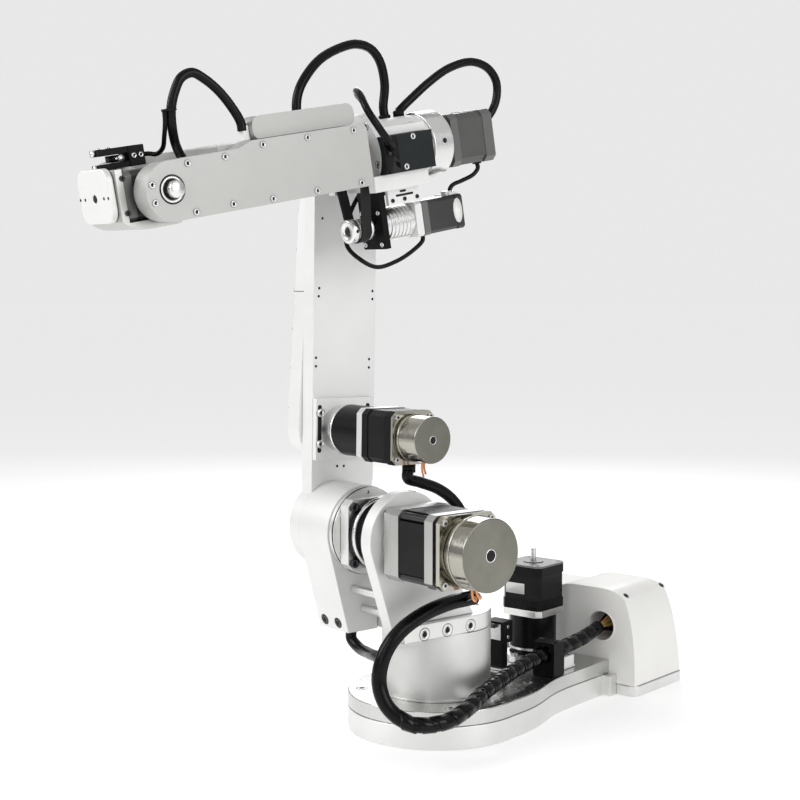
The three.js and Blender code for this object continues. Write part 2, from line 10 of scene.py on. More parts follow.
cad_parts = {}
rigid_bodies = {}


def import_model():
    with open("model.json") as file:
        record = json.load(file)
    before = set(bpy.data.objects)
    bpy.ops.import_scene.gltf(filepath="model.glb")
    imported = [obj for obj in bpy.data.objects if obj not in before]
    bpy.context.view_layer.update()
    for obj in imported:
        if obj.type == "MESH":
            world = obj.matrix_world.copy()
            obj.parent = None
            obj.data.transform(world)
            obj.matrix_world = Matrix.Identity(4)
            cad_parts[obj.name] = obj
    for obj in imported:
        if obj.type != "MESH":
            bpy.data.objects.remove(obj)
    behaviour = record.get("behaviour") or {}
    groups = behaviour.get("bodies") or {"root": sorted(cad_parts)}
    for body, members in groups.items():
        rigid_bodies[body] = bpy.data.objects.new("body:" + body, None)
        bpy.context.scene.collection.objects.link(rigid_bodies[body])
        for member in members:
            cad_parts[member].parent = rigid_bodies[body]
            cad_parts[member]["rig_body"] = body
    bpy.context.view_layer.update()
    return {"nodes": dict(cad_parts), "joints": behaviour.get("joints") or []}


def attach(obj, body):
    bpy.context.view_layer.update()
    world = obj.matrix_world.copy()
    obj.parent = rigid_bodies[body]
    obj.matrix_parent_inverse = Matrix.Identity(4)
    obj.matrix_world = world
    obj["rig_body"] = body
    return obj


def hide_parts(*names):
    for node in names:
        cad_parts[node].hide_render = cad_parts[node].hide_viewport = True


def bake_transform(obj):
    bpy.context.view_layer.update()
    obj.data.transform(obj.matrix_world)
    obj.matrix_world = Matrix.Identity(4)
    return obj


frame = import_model()
NODES = frame["nodes"]
MM = 0.001
MICROMETRE = 0.000001

# ---------------------------------------------------------------- the arm's own axes, from the joints

JOINTS = {joint["name"]: joint for joint in frame["joints"]}


def joint_point(name):
    return Vector(JOINTS[name]["pos_m"])


def joint_axis(name):
    return Vector(JOINTS[name]["axis"]).normalized()


def place(origin, x, y):
    """A frame at origin whose axes are x, y and x cross y."""
    rows = Matrix((x, y, x.cross(y))).transposed()
    return Matrix.Translation(origin) @ rows.to_4x4()


UP = Vector((0, 0, 1))
SIDE = joint_axis("j2_shoulder")
REACH = joint_axis("j4_forearm_roll")
SHOULDER = joint_point("j2_shoulder")
ELBOW = joint_point("j3_elbow")
BASE = Matrix.Identity(4)
TURRET = place(Vector((0, 0, 0)), SIDE.cross(UP), SIDE)
ARM = place(SHOULDER, SIDE.cross((ELBOW - SHOULDER).normalized()), SIDE)
FOREARM = place(ELBOW, REACH, SIDE)
WRIST = place(joint_point("j5_wrist"), REACH, SIDE)
FRAMES = {  # the frame in which the pieces of each body are laid out, in millimetres
    "base": BASE, "turret": TURRET, "upper_arm": ARM, "elbow": FOREARM, "roll_pulley": FOREARM,
    "forearm": FOREARM, "wrist": WRIST, "tool": WRIST,
}
SHOULDER_AXIS = TURRET.inverted() @ SHOULDER / MM  # the shoulder's centre in the turret's millimetres
UPPER_LENGTH = (ELBOW - SHOULDER).length / MM
PITCH_AXIS = (joint_point("j5_wrist") - ELBOW).length / MM
PULLEY_DROP = (joint_point("j4_pulley_spin") - ELBOW).length / MM

# The motors' middles, each in its own body's frame, and the half width and chamfer of a 42 mm motor.
TURRET_MOTOR = (-142, 0, 0)
SHOULDER_MOTOR = (SHOULDER_AXIS.x, 0, SHOULDER_AXIS.z)
ELBOW_MOTOR = (0, 0, 80.3)
ROLL_MOTOR = (0, 0, -PULLEY_DROP)
MOTOR_42 = (21.15, 4.2)

# ---------------------------------------------------------------- materials


def shader(name, color, metallic, roughness):
    material = bpy.data.materials.new(name)
    material.use_nodes = True
    bsdf = material.node_tree.nodes["Principled BSDF"]
    bsdf.inputs["Base Color"].default_value = (*color, 1)
    bsdf.inputs["Metallic"].default_value = metallic
    bsdf.inputs["Roughness"].default_value = roughness
    return material, bsdf


def noise(tree, scale, stretch=(1, 1, 1), detail=3):
    """Noise over the object's own space; stretch below 1 draws it out along that axis."""
    nodes, links = tree.nodes, tree.links
    coordinates = nodes.new("ShaderNodeTexCoord")
    mapping = nodes.new("ShaderNodeMapping")
    mapping.inputs["Scale"].default_value = stretch
    texture = nodes.new("ShaderNodeTexNoise")
    texture.inputs["Scale"].default_value = scale
    texture.inputs["Detail"].default_value = detail
    links.new(coordinates.outputs["Object"], mapping.inputs["Vector"])
    links.new(mapping.outputs["Vector"], texture.inputs["Vector"])
    return texture.outputs["Fac"]


def vary(tree, value, low, high, target):
    """Maps noise to a number between low and high on the target socket."""
    spread = tree.nodes.new("ShaderNodeMapRange")
    spread.inputs["From Min"].default_value = 0.3
    spread.inputs["From Max"].default_value = 0.7
    spread.inputs["To Min"].default_value = low
    spread.inputs["To Max"].default_value = high
    tree.links.new(value, spread.inputs["Value"])
    tree.links.new(spread.outputs["Result"], target)


def tint(tree, value, dark, light, target):
    """Maps noise to a colour between dark and light on the target socket."""
    ramp = tree.nodes.new("ShaderNodeValToRGB")
    ramp.color_ramp.elements[0].position = 0.3
    ramp.color_ramp.elements[0].color = (*dark, 1)
    ramp.color_ramp.elements[1].position = 0.7
    ramp.color_ramp.elements[1].color = (*light, 1)
    tree.links.new(value, ramp.inputs["Fac"])
    tree.links.new(ramp.outputs["Color"], target)


def bump(tree, value, height, bsdf):
    node = tree.nodes.new("ShaderNodeBump")
    node.inputs["Strength"].default_value = 1
    node.inputs["Distance"].default_value = height
    tree.links.new(value, node.inputs["Height"])
    tree.links.new(node.outputs["Normal"], bsdf.inputs["Normal"])


def scaled(color, factor):
    return tuple(min(1, channel * factor) for channel in color)


def finish(name, color, metallic, rough, grain, height, patch=0.05, stretch=(1, 1, 1), *, coat, gloss):
    """A surface with cloudy colour, uneven roughness and a fine grain."""
    material, bsdf = shader(name, color, metallic, sum(rough) / 2)
    tree = material.node_tree
    cloud = noise(tree, 22, detail=4)
    fine = noise(tree, grain, stretch)
    tint(tree, cloud, scaled(color, 1 - patch), scaled(color, 1 + patch), bsdf.inputs["Base Color"])
    vary(tree, fine, *rough, bsdf.inputs["Roughness"])
    bump(tree, fine, height * MICROMETRE, bsdf)
    bsdf.inputs["Specular IOR Level"].default_value = gloss
    bsdf.inputs["Coat Weight"].default_value = coat
    bsdf.inputs["Coat Roughness"].default_value = 0.12
    return material


# Name, colour, metallic, roughness range, grain per metre, grain height in micrometres, cloudiness, stretch.
FINISHES = {
    "satin": ("satin_aluminium", (0.78, 0.78, 0.765), 1, (0.30, 0.42), 1900, 20),
    "blasted": ("blasted_aluminium", (0.76, 0.76, 0.75), 0.35, (0.42, 0.55), 2600, 40, 0.03),
    "forearm": ("bead_blasted_forearm", (0.46, 0.46, 0.445), 0.45, (0.40, 0.52), 2600, 40, 0.03),
    "column": ("column_aluminium", (0.70, 0.70, 0.685), 1, (0.42, 0.52), 1900, 20),
    "yoke": ("yoke_aluminium", (0.50, 0.50, 0.48), 1, (0.30, 0.42), 1900, 20),
    "end_cap": ("motor_end_cap", (0.46, 0.46, 0.445), 1, (0.28, 0.40), 1500, 20, 0.1),
    "polished": ("polished_plate", (0.60, 0.60, 0.585), 1, (0.20, 0.28), 300, 2),
    "turned": ("turned_aluminium", (0.80, 0.80, 0.79), 1, (0.18, 0.34), 1500, 20, 0.04, (12, 1, 1)),
    "grooved": ("ribbed_aluminium", (0.82, 0.82, 0.81), 1, (0.2, 0.34), 900, 20, 0.05, (6, 1, 1)),
    "nickel": ("polished_nickel", (0.40, 0.385, 0.335), 1, (0.10, 0.22), 260, 8, 0.12),
    # the brakes' outward end faces: the same nickel made darker, a painted dark reflection of what the faces
    # mirror
    "nickel_face": ("dark_reflection_nickel", (0.20, 0.196, 0.168), 1, (0.20, 0.28), 120, 3, 0.2),
    "steel": ("screw_steel", (0.62, 0.62, 0.62), 1, (0.18, 0.32), 2200, 10),
    "dark_steel": ("blackened_steel", (0.05, 0.05, 0.052), 0.8, (0.25, 0.4), 2200, 10),
    "black": ("black_motor_paint", (0.004, 0.004, 0.0045), 0, (0.25, 0.38), 900, 30, 0.2),
    "grey_motor": ("dark_grey_motor_paint", (0.045, 0.045, 0.045), 0.2, (0.28, 0.4), 900, 30, 0.15),
    "stack_grey": ("grey_laminations", (0.095, 0.095, 0.092), 0.3, (0.3, 0.42), 900, 30, 0.1),
    "cap_grey": ("grey_motor_cap", (0.155, 0.155, 0.152), 0.6, (0.3, 0.42), 1500, 30, 0.1),
    "shell": ("white_cover_plastic", (0.80, 0.795, 0.77), 0, (0.32, 0.44), 1500, 30, 0.02),
    "white": ("white_plastic", (0.80, 0.80, 0.79), 0, (0.35, 0.5), 1500, 20, 0.03),
    "plastic": ("black_plastic", (0.004, 0.004, 0.0045), 0, (0.34, 0.5), 1800, 50, 0.2),
    "side_cover": ("smooth_black_plastic", (0.014, 0.017, 0.018), 0, (0.26, 0.36), 1200, 20, 0.2),
    "rubber": ("belt_rubber", (0.012, 0.012, 0.012), 0, (0.5, 0.7), 1500, 60, 0.25),
    "jacket": ("cable_jacket", (0.003, 0.003, 0.0035), 0, (0.20, 0.32), 700, 40, 0.25),
    "wrap": ("spiral_wrap", (0.003, 0.003, 0.0035), 0, (0.10, 0.18), 500, 20, 0.2),
    "copper": ("orange_wire", (0.72, 0.27, 0.09), 0, (0.35, 0.5), 900, 30, 0.15),
    "brass": ("brass_wiring", (0.62, 0.47, 0.18), 0.7, (0.3, 0.5), 600, 50, 0.3),
    "red": ("red_wire", (0.35, 0.02, 0.02), 0, (0.4, 0.5), 900, 30, 0.15),
    "label": ("blank_label", (0.78, 0.78, 0.76), 0, (0.45, 0.6), 1200, 10, 0.04),
    "hole": ("shadowed_hole", (0.004, 0.004, 0.004), 0, (0.7, 0.9), 800, 20, 0.2),
}
GLOSS = {  # how much of the usual shine the dark surfaces keep, for those that differ from 0.5
    "black": 0.12, "grey_motor": 0.3, "stack_grey": 0.3, "plastic": 0.12, "side_cover": 0.2,
    "rubber": 0.25, "jacket": 0.16, "wrap": 0.2,
}
COAT = {"shell": 0.15}
M = {
    key: finish(*row, coat=COAT.get(key, 0), gloss=GLOSS.get(key, 0.5))
    for key, row in FINISHES.items()
}


def laminated():
    """The black steel sheets of a motor stack: fine dark lines across the motor's axis."""
    material, bsdf = shader("motor_laminations", (0.005, 0.005, 0.0055), 0.1, 0.3)
    bsdf.inputs["Specular IOR Level"].default_value = 0.15
    tree = material.node_tree
    coordinates = tree.nodes.new("ShaderNodeTexCoord")
    wave = tree.nodes.new("ShaderNodeTexWave")
    wave.bands_direction = "Y"
    wave.inputs["Scale"].default_value = 320
    wave.inputs["Distortion"].default_value = 0.4
    tree.links.new(coordinates.outputs["Object"], wave.inputs["Vector"])
    vary(tree, wave.outputs["Fac"], 0.24, 0.42, bsdf.inputs["Roughness"])
    tint(tree, noise(tree, 60), (0.004, 0.004, 0.0045), (0.008, 0.008, 0.009), bsdf.inputs["Base Color"])
    bump(tree, wave.outputs["Fac"], 0.00003, bsdf)
    return material


M["stack"] = laminated()

# ---------------------------------------------------------------- mesh parts, in millimetres

AXES = {"x": Vector((1, 0, 0)), "y": Vector((0, 1, 0)), "z": Vector((0, 0, 1))}


def skin(loops, closed=False):
    """Faces between neighbouring loops of points; closed joins the last loop to the first.

    A skin that is not closed gets a flat face at either end.
    """
    count = len(loops[0])
    points = [point for loop in loops for point in loop]
    faces = []
    for k in range(len(loops) if closed else len(loops) - 1):
        a, b = k * count, (k + 1) % len(loops) * count
        for i in range(count):
            j = (i + 1) % count
            faces.append((a + i, a + j, b + j, b + i))
    if not closed:
        faces.append(tuple(range(count)))
        faces.append(tuple(range(len(points) - 1, len(points) - count - 1, -1)))
    return points, faces


def turned_to(along):
    return Vector((0, 0, 1)).rotation_difference(Vector(along).normalized()).to_matrix()


def lathe(profile, at=(0, 0, 0), along="z", sides=32, closed=False, corners=0):
    """Turns (distance, radius) pairs round the axis along; corners makes the rings polygons."""
    turn = turned_to(AXES.get(along, along) if isinstance(along, str) else along)
    loops = []
    for distance, radius in profile:
        loop = []
        for i in range(sides):
            angle = 2 * math.pi * (i + 0.5) / sides
            reach = radius
            if corners:
                wedge = 2 * math.pi / corners
                reach = radius / math.cos(angle % wedge - wedge / 2)
            spot = Vector((reach * math.cos(angle), reach * math.sin(angle), distance))
            loop.append(Vector(at) + turn @ spot)
        loops.append(loop)
    return skin(loops, closed)


def disc(radius, span, at=(0, 0, 0), along="z", sides=32):
    return lathe([(span[0], radius), (span[1], radius)], at, along, sides)


def ring(inner, outer, span, at=(0, 0, 0), along="z", sides=40):
    corners = [(span[0], inner), (span[1], inner), (span[1], outer), (span[0], outer)]
    return lathe(corners, at, along, sides, closed=True)


def prism(outline, span, axis):
    """An outline in the other two axes, in the order X, Y, Z, as long as the span along axis."""
    slot_of = "xyz".index(axis)

    def spot(point, height):
        values = list(point)
        values.insert(slot_of, height)
        return Vector(values)

    return skin([[spot(p, height) for p in outline] for height in span])


def block(x, y, z):
    return prism([(x[0], y[0]), (x[1], y[0]), (x[1], y[1]), (x[0], y[1])], z, "z")


def octagon(half, chamfer, centre=(0, 0)):
    flat = half - chamfer
    points = [(half, -flat), (half, flat), (flat, half), (-flat, half)]
    points += [(-a, -b) for a, b in points]
    return [(centre[0] + a, centre[1] + b) for a, b in points]


CORNER_STEPS = 5  # straight pieces in a round corner
SHARP_EDGE = 33  # degrees above which an edge is bevelled


def arc(centre, radius, start, end, steps):
    angles = [math.radians(start + (end - start) * i / steps) for i in range(steps + 1)]
    return [(centre[0] + radius * math.cos(a), centre[1] + radius * math.sin(a)) for a in angles]


def rounded(x, y, radius):
    """A rectangle with round corners."""
    corners = [(x[1], y[0], -90), (x[1], y[1], 0), (x[0], y[1], 90), (x[0], y[0], 180)]
    points = []
    for cx, cy, start in corners:
        centre = (cx - math.copysign(radius, cx - sum(x) / 2), cy - math.copysign(radius, cy - sum(y) / 2))
        points += arc(centre, radius, start, start + 90, CORNER_STEPS)
    return points


def piece(name, body, parts, bevel=0.3):
    """One object from (material name, part) pairs, riding on a body, with softened edges."""
    mesh = bpy.data.meshes.new(name)
    keys = list(dict.fromkeys(key for key, _ in parts))
    points, faces, slots = [], [], []
    for key, (part_points, part_faces) in parts:
        start = len(points)
        points += [Vector(p) * MM for p in part_points]
        faces += [tuple(start + i for i in face) for face in part_faces]
        slots += [keys.index(key)] * len(part_faces)
    mesh.from_pydata(points, [], faces)
    mesh.polygons.foreach_set("material_index", slots)
    clean = bmesh.new()
    clean.from_mesh(mesh)
    bmesh.ops.recalc_face_normals(clean, faces=clean.faces)
    clean.to_mesh(mesh)
    clean.free()
    for key in keys:
        mesh.materials.append(M[key])
    thing = add_object(name, mesh)
    thing.matrix_world = FRAMES[body]
    if bevel:
        soften(thing, bevel)
    else:
        mesh.polygons.foreach_set("use_smooth", [True] * len(mesh.polygons))
    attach(thing, body)
    return thing


def soften(thing, width):
    """Smooth shading with small bevels on the sharp edges."""
    mesh = thing.data
    mesh.polygons.foreach_set("use_smooth", [True] * len(mesh.polygons))
    edge = thing.modifiers.new("edges", "BEVEL")
    edge.width = width * MM
    edge.segments = 2
    edge.limit_method = "ANGLE"
    edge.angle_limit = math.radians(SHARP_EDGE)
    edge.harden_normals = True
    edge.use_clamp_overlap = True


# ---------------------------------------------------------------- small hardware

HEX = 6


def socket_screw(at, along, head, height, material="steel"):
    """A cap screw: a round head with a hexagon socket and a dark bottom."""
    hexagon = head * 0.5
    turn = turned_to(AXES.get(along, along) if isinstance(along, str) else along)
    outer = [(-0.2, head), (height - 0.35, head), (height, head - 0.35)]
    rings = [lathe(outer, at, along, 24)[0][i * 24:(i + 1) * 24] for i in range(3)]
    inner = lathe([(height, hexagon), (height * 0.25, hexagon)], at, along, 24, corners=HEX)[0]
    rings += [inner[:24], inner[24:]]
    floor = Vector(at) + turn @ Vector((0, 0, height * 0.3))
    bottom = disc(hexagon * 0.98, (-0.05, 0), floor, along, 24)
    return [(material, skin(rings)), ("hole", bottom)]


def flush_screw(at, along, radius, material="satin"):
    """A countersunk screw: a dark rim in the plate, a flat head and its socket."""
    rim = ring(radius * 0.93, radius, (-0.4, 0.12), at, along)
    head = radius * 0.93
    outer = [(-0.4, head), (0.16, head), (0.3, head - 0.3)]
    rings = [lathe(outer, at, along, 24)[0][i * 24:(i + 1) * 24] for i in range(3)]
    inner = lathe([(0.3, radius * 0.42), (-0.3, radius * 0.42)], at, along, 24, corners=HEX)[0]
    rings += [inner[:24], inner[24:]]
    bottom = disc(radius * 0.43, (0.02, 0.1), at, along, 24)
    return [("hole", rim), (material, skin(rings)), ("hole", bottom)]


def caps(spots, along, head, height, material="steel"):
    """A cap screw at each of the spots."""
    return [part for spot in spots for part in socket_screw(spot, along, head, height, material)]


def screws(name, body, spots, along, slot, kind=socket_screw, **sizes):
    """One piece that holds a screw of one kind at each of the spots."""
    parts = [part for spot in spots for part in kind(spot, along, **sizes)]
    piece(name, body, parts, bevel=0)


def square_spots(reach, height, centre=(0, 0, 0), axis="y"):
    """The four corner spots of a motor face at the height along its axis."""
    spots = []
    for a in (-reach, reach):
        for b in (-reach, reach):
            values = [a, b]
            values.insert("xyz".index(axis), height)
            spots.append(Vector(centre) + Vector(values))
    return spots


def circle_spots(radius, height, centre, count, first):
    """Spots round an axis along Y, the first one so many degrees above X."""
    spots = []
    for k in range(count):
        angle = math.radians(first + 360 / count * k)
        spots.append((centre[0] + radius * math.cos(angle), height, centre[2] + radius * math.sin(angle)))
    return spots


# ---------------------------------------------------------------- the stage


def look_at(thing, target):
    thing.rotation_mode = "QUATERNION"
    thing.rotation_quaternion = (Vector(target) - thing.location).to_track_quat("-Z", "Y")


LENS = 70.43
CAMERA_AT = (1.01517, 0.79937, 0.37908)
CAMERA_AIM = (0.01867, -0.02402, 0.27357)
BACKDROP = 0.81  # what the camera sees behind the arm, a little darker than paper
FLOOR_GLOW = 0.45  # lifts the far floor to the backdrop's grey, so that no horizon shows


def add_object(name, data):
    thing = bpy.data.objects.new(name, data)
    bpy.context.scene.collection.objects.link(thing)
    return thing


def camera():
    data = bpy.data.cameras.new("camera")
    data.lens = LENS
    data.sensor_width = 36
    data.clip_end = 20
    thing = add_object("camera", data)
    thing.location = CAMERA_AT
    look_at(thing, CAMERA_AIM)
    bpy.context.scene.camera = thing


def softbox(name, location, target, size, power):
    data = bpy.data.lights.new(name, "AREA")
    data.shape = "RECTANGLE"
    data.size, data.size_y = size
    data.energy = power
    thing = add_object(name, data)
    thing.location = location
    look_at(thing, target)


def studio():
    """Four soft lights, a grey world that is lighter above, and a plain backdrop for the camera."""
    middle = (0, 0, 0.25)
    softbox("key", (1.1, -0.9, 1.1), middle, (0.9, 0.9), 13)
    softbox("fill", (0.1, 1.7, 0.9), middle, (1.2, 1.0), 12)
    softbox("strip", (1.7, 0.5, 0.9), middle, (0.25, 1.3), 5)
    softbox("back", (-1.2, -0.9, 1.0), middle, (0.9, 0.9), 9)
    world = bpy.data.worlds.new("studio")
    bpy.context.scene.world = world
    bpy.context.scene.view_settings.view_transform = "Standard"
    world.use_nodes = True
    tree = world.node_tree
    background = tree.nodes["Background"]
    coordinates = tree.nodes.new("ShaderNodeTexCoord")
    split = tree.nodes.new("ShaderNodeSeparateXYZ")
    ramp = tree.nodes.new("ShaderNodeValToRGB")
    spread = tree.nodes.new("ShaderNodeMapRange")
    spread.inputs["From Min"].default_value = -0.2
    spread.inputs["From Max"].default_value = 0.9
    ramp.color_ramp.elements[0].color = (0.30, 0.30, 0.31, 1)
    ramp.color_ramp.elements[1].color = (0.62, 0.62, 0.62, 1)
    backdrop = tree.nodes.new("ShaderNodeBackground")
    backdrop.inputs["Color"].default_value = (BACKDROP, BACKDROP, BACKDROP, 1)
    rays = tree.nodes.new("ShaderNodeLightPath")
    choose = tree.nodes.new("ShaderNodeMixShader")
    for output, target in (
        (coordinates.outputs["Generated"], split.inputs["Vector"]),
        (split.outputs["Z"], spread.inputs["Value"]),
        (spread.outputs["Result"], ramp.inputs["Fac"]),
        (ramp.outputs["Color"], background.inputs["Color"]),
        (rays.outputs["Is Camera Ray"], choose.inputs["Fac"]),
        (background.outputs["Background"], choose.inputs[1]),
        (backdrop.outputs["Background"], choose.inputs[2]),
        (choose.outputs["Shader"], tree.nodes["World Output"].inputs["Surface"]),
    ):
        tree.links.new(output, target)


def floor():
    material, bsdf = shader("pale_floor", (0.62, 0.62, 0.62), 0, 0.6)
    vary(material.node_tree, noise(material.node_tree, 3), 0.55, 0.65, bsdf.inputs["Roughness"])
    bsdf.inputs["Emission Color"].default_value = (1, 1, 1, 1)
    bsdf.inputs["Emission Strength"].default_value = FLOOR_GLOW
    bpy.ops.mesh.primitive_plane_add(size=60, location=(0, 0, -0.0005))
    thing = bpy.context.object
    thing.name = "floor"
    thing.data.materials.append(material)


# ---------------------------------------------------------------- cables


def smooth_route(points, steps=7):
    """The centripetal curve through the points, with its tangents drawn on past both ends."""
    spots = [Vector(p) for p in points]
    spots = [spots[0] * 2 - spots[1]] + spots + [spots[-1] * 2 - spots[-2]]
    route = []
    for k in range(1, len(spots) - 2):
        p0, p1, p2, p3 = spots[k - 1:k + 3]
        d1, d2, d3 = (max((b - a).length, 1e-6) ** 0.5 for a, b in ((p0, p1), (p1, p2), (p2, p3)))
        t1 = ((p1 - p0) / d1 - (p2 - p0) / (d1 + d2) + (p2 - p1) / d2) * d2
        t2 = ((p2 - p1) / d2 - (p3 - p1) / (d2 + d3) + (p3 - p2) / d3) * d2
        for i in range(steps):
            t = i / steps
            route.append(
                p1 * (2 * t**3 - 3 * t**2 + 1) + t1 * (t**3 - 2 * t**2 + t)
                + p2 * (3 * t**2 - 2 * t**3) + t2 * (t**3 - t**2)
            )
    return route + [spots[-2]]


def carried_axes(route):
    """A tangent and two side directions at each point, carried along without twist."""
    side = None
    result = []
    for i, point in enumerate(route):
        tangent = (route[min(i + 1, len(route) - 1)] - route[max(i - 1, 0)]).normalized()
        if side is None:
            side = tangent.orthogonal().normalized()
        side = (side - tangent * side.dot(tangent)).normalized()
        result.append((point, side, tangent.cross(side)))
    return result


def sweep(route, radius, sides=16):
    loops = []
    for point, a, b in carried_axes(route):
        angles = [2 * math.pi * i / sides for i in range(sides)]
        loops.append([point + (a * math.cos(t) + b * math.sin(t)) * radius for t in angles])
    return skin(loops)


def spiral(route, radius, pitch, width, thickness, span):
    """A flat strip wound round the route between two shares of its length."""
    lengths = [0]
    for a, b in zip(route, route[1:]):
        lengths.append(lengths[-1] + (b - a).length)
    axes = carried_axes(route)
    total = lengths[-1]
    steps = int(total * (span[1] - span[0]) / pitch * 16)
    loops = []
    k = 0
    for i in range(steps + 1):
        along = total * (span[0] + (span[1] - span[0]) * i / steps)
        while k < len(lengths) - 2 and lengths[k + 1] < along:
            k += 1
        t = (along - lengths[k]) / (lengths[k + 1] - lengths[k])
        (p, a, b), (q, c, d) = axes[k], axes[k + 1]
        centre, right, front = p.lerp(q, t), a.lerp(c, t).normalized(), b.lerp(d, t).normalized()
        tangent = right.cross(front)
        angle = 2 * math.pi * along / pitch
        out = right * math.cos(angle) + front * math.sin(angle)
        lift = tangent * (width / 2)
        inner, outer = centre + out * radius, centre + out * (radius + thickness)
        loops.append([inner - lift, outer - lift * 0.9, outer + lift * 0.9, inner + lift])
    return skin(loops)


def cable(node, body, points, radius, blend=None, wrapped=None):
    """A cable along the CAD route; with blend, it is taken off its body and its shape baked where it stands,
    and the two bodies that blend names are not read.

    wrapped gives the two shares of its length between which a strip is wound round it.
    """
    route = smooth_route(points)
    core = radius - 0.55 if wrapped else radius
    thing = piece(node + "_jacket", body, [("jacket", sweep(route, core))], bevel=0)
    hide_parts(node)
    extras = []
    if wrapped:
        strip = spiral(route, core + 0.05, 2.2 * radius, 1.78 * radius, 0.42, wrapped)
        extras.append(piece(node + "_wrap", body, [("wrap", strip)], bevel=0))
    for item in [thing] + extras:
        if blend:
            world = item.matrix_world.copy()
            item.parent = None
            item.matrix_world = world
            del item["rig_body"]
            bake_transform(item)


HARNESS = [
    (-172, 51, 60), (-152, 50, 55), (-114, 49, 51), (-84, 48, 49), (-52, 50, 47), (-16, 56, 44),
    (20, 63, 41), (52, 72, 37), (82, 72, 33), (104, 58, 34), (113, 42, 46), (114, 34, 64),
    (110, 35, 84), (98, 39, 100), (76, 45, 112), (48, 51, 118), (22, 56, 119),
]
SHOULDER_BRANCH = [
    (71, -24.6, 85.2), (71, -24.4, 79.4), (71.6, -13, 73.4), (77, 4, 74),
    (85, 20, 76.5), (92, 35, 79), (96, 45.5, 79.6),
]
J3_CABLE = [
    (64, 40, 224), (64, 40, 218), (53, 41, 214), (35, 43, 207), (22, 46, 197), (13, 49, 182),
    (9, 52, 160), (10, 54, 140), (15, 55, 127.5),
]
WRIST_LOOP = [
    (149.4, 31, 32), (149.6, 31, 38), (153.6, 31, 47), (162.9, 30, 61.6), (173.1, 29, 71.7),
    (181.5, 28, 76.8), (190.5, 27, 74.3), (197.4, 26, 64.7), (201.3, 25, 54.2), (201.6, 23, 44.6),
    (198.6, 18, 34), (193.5, 12, 26), (187, 7, 17), (181, 4, 8),
]
LIMIT_SWITCH_CABLE = [
    (207, 25, 54), (206.9, 23.4, 46), (206.4, 18.5, 36.5), (205.8, 12.5, 28), (208, 7, 24.6),
    (212.5, 3, 25.6), (217.5, 1, 25.8),
]
FOREARM_LOOP = [
    (80, 5, 24.4), (80.2, 5, 33), (79.8, 5, 44), (76.7, 5, 53), (68.4, 4, 63), (50.1, 2, 76), (27.8, 0, 83.2),
    (9, -2, 85), (-7.6, -5, 80), (-17.4, -8, 69.2), (-20.5, -10, 51), (-17.6, -12, 34), (-17.5, -12, 27),
]
ELBOW_COVER_CABLE = [
    (-6, -15, 27), (4, -9, 40), (14, -2, 46), (26, 12, 49.5), (36, 29, 45), (41, 41, 34),
    (37, 46, 21), (28, 44, 10), (20, 40.2, 4),
]
J5_CABLE = [
    (-27.5, -6, 28.6), (-33, -4, 33), (-42, -3, 38.5), (-59, 0, 48.6), (-80.6, 2, 57.6),
    (-103.6, 4, 60.2), (-119.8, 5, 53.7), (-128, 5, 41.4), (-126, 4, 26), (-117, 2, 14),
    (-107.5, 2, 11), (-103.1, 2, 11),
]
J5_TO_J4_CABLE = [
    (-92.2, 8, -21.6), (-92.6, 8, -26), (-87.9, 7, -30.6), (-75.9, 6, -33.8), (-65.2, 5, -36.2),
    (-61.6, 5, -39.5), (-61.5, 5, -42.9),
]
J4_CABLE = [
    (-30.6, 0, -71.8), (-30, 0, -76), (-17, 0, -83), (2.2, 0, -88.4), (20.3, -1, -89.3), (31.7, -5, -81.7),
    (35, -16, -70), (32, -18, -57), (26.6, -18, -46), (20.5, -18, -38), (14, -18, -31.5),
]


def cables():
    cable("cable_harness", "base", HARNESS, 6.6, wrapped=(0.03, 0.66))
    cable("cable_shoulder_branch", "turret", SHOULDER_BRANCH, 4.6)
    cable("cable_j3_motor", "turret", J3_CABLE, 4.6, ("upper_arm", "turret"))
    cable("cable_wrist_loop", "forearm", WRIST_LOOP, 3.5)
    cable("cable_limit_switch", "forearm", LIMIT_SWITCH_CABLE, 1.7, ("forearm", "wrist"))
    cable("cable_forearm_loop", "forearm", FOREARM_LOOP, 3.7, ("forearm", "elbow"))
    cable("cable_elbow_cover", "elbow", ELBOW_COVER_CABLE, 2.9)
    cable("cable_j5_motor", "forearm", J5_CABLE, 3.5, ("elbow", "forearm"))
    cable("cable_j5_to_j4", "forearm", J5_TO_J4_CABLE, 1.8, ("forearm", "elbow"))
    cable("cable_j4_motor", "elbow", J4_CABLE, 1.8)


# ---------------------------------------------------------------- the CAD nodes that stay

CAD_FINISH = {
    "satin": [
        "base_plate", "cover_foot", "j1_adapter_plate", "turret_deck", "j2_bearing_cap",
        "j2_gearbox_flange", "plate_spacer_high", "plate_spacer_low", "j2_hub",
        "j3_adapter_plate", "j3_hub", "j4_driven_pulley",
    ],
    "column": ["turret_column"],
    "yoke": ["wrist_yoke"],
    "end_cap": ["j2_adapter_plate"],
    "blasted": [
        "j2_bearing_housing", "j2_motor_plate", "upper_arm_plate", "upper_arm_belt_cover",
        "j3_motor_mount", "elbow_housing", "tool_flange", "j4_adapter_plate",
    ],
    "forearm": ["forearm_body", "forearm_front_cover", "forearm_cable_cover"],
    "polished": ["base_top_plate"],
    "turned": ["j4_shaft_collar", "wrist_axle"],
    "nickel": ["j2_brake", "j3_brake"],
    "black": ["j1_gearbox", "j2_gearbox", "j3_gearbox"],
    "shell": ["electronics_cover"],
    "white": ["wire_terminal"],
    "plastic": ["cable_clamp", "j1_limit_switch", "wrist_limit_bracket", "j4_bracket"],
    "side_cover": ["elbow_side_cover"],
    "rubber": ["j4_belt"],
}
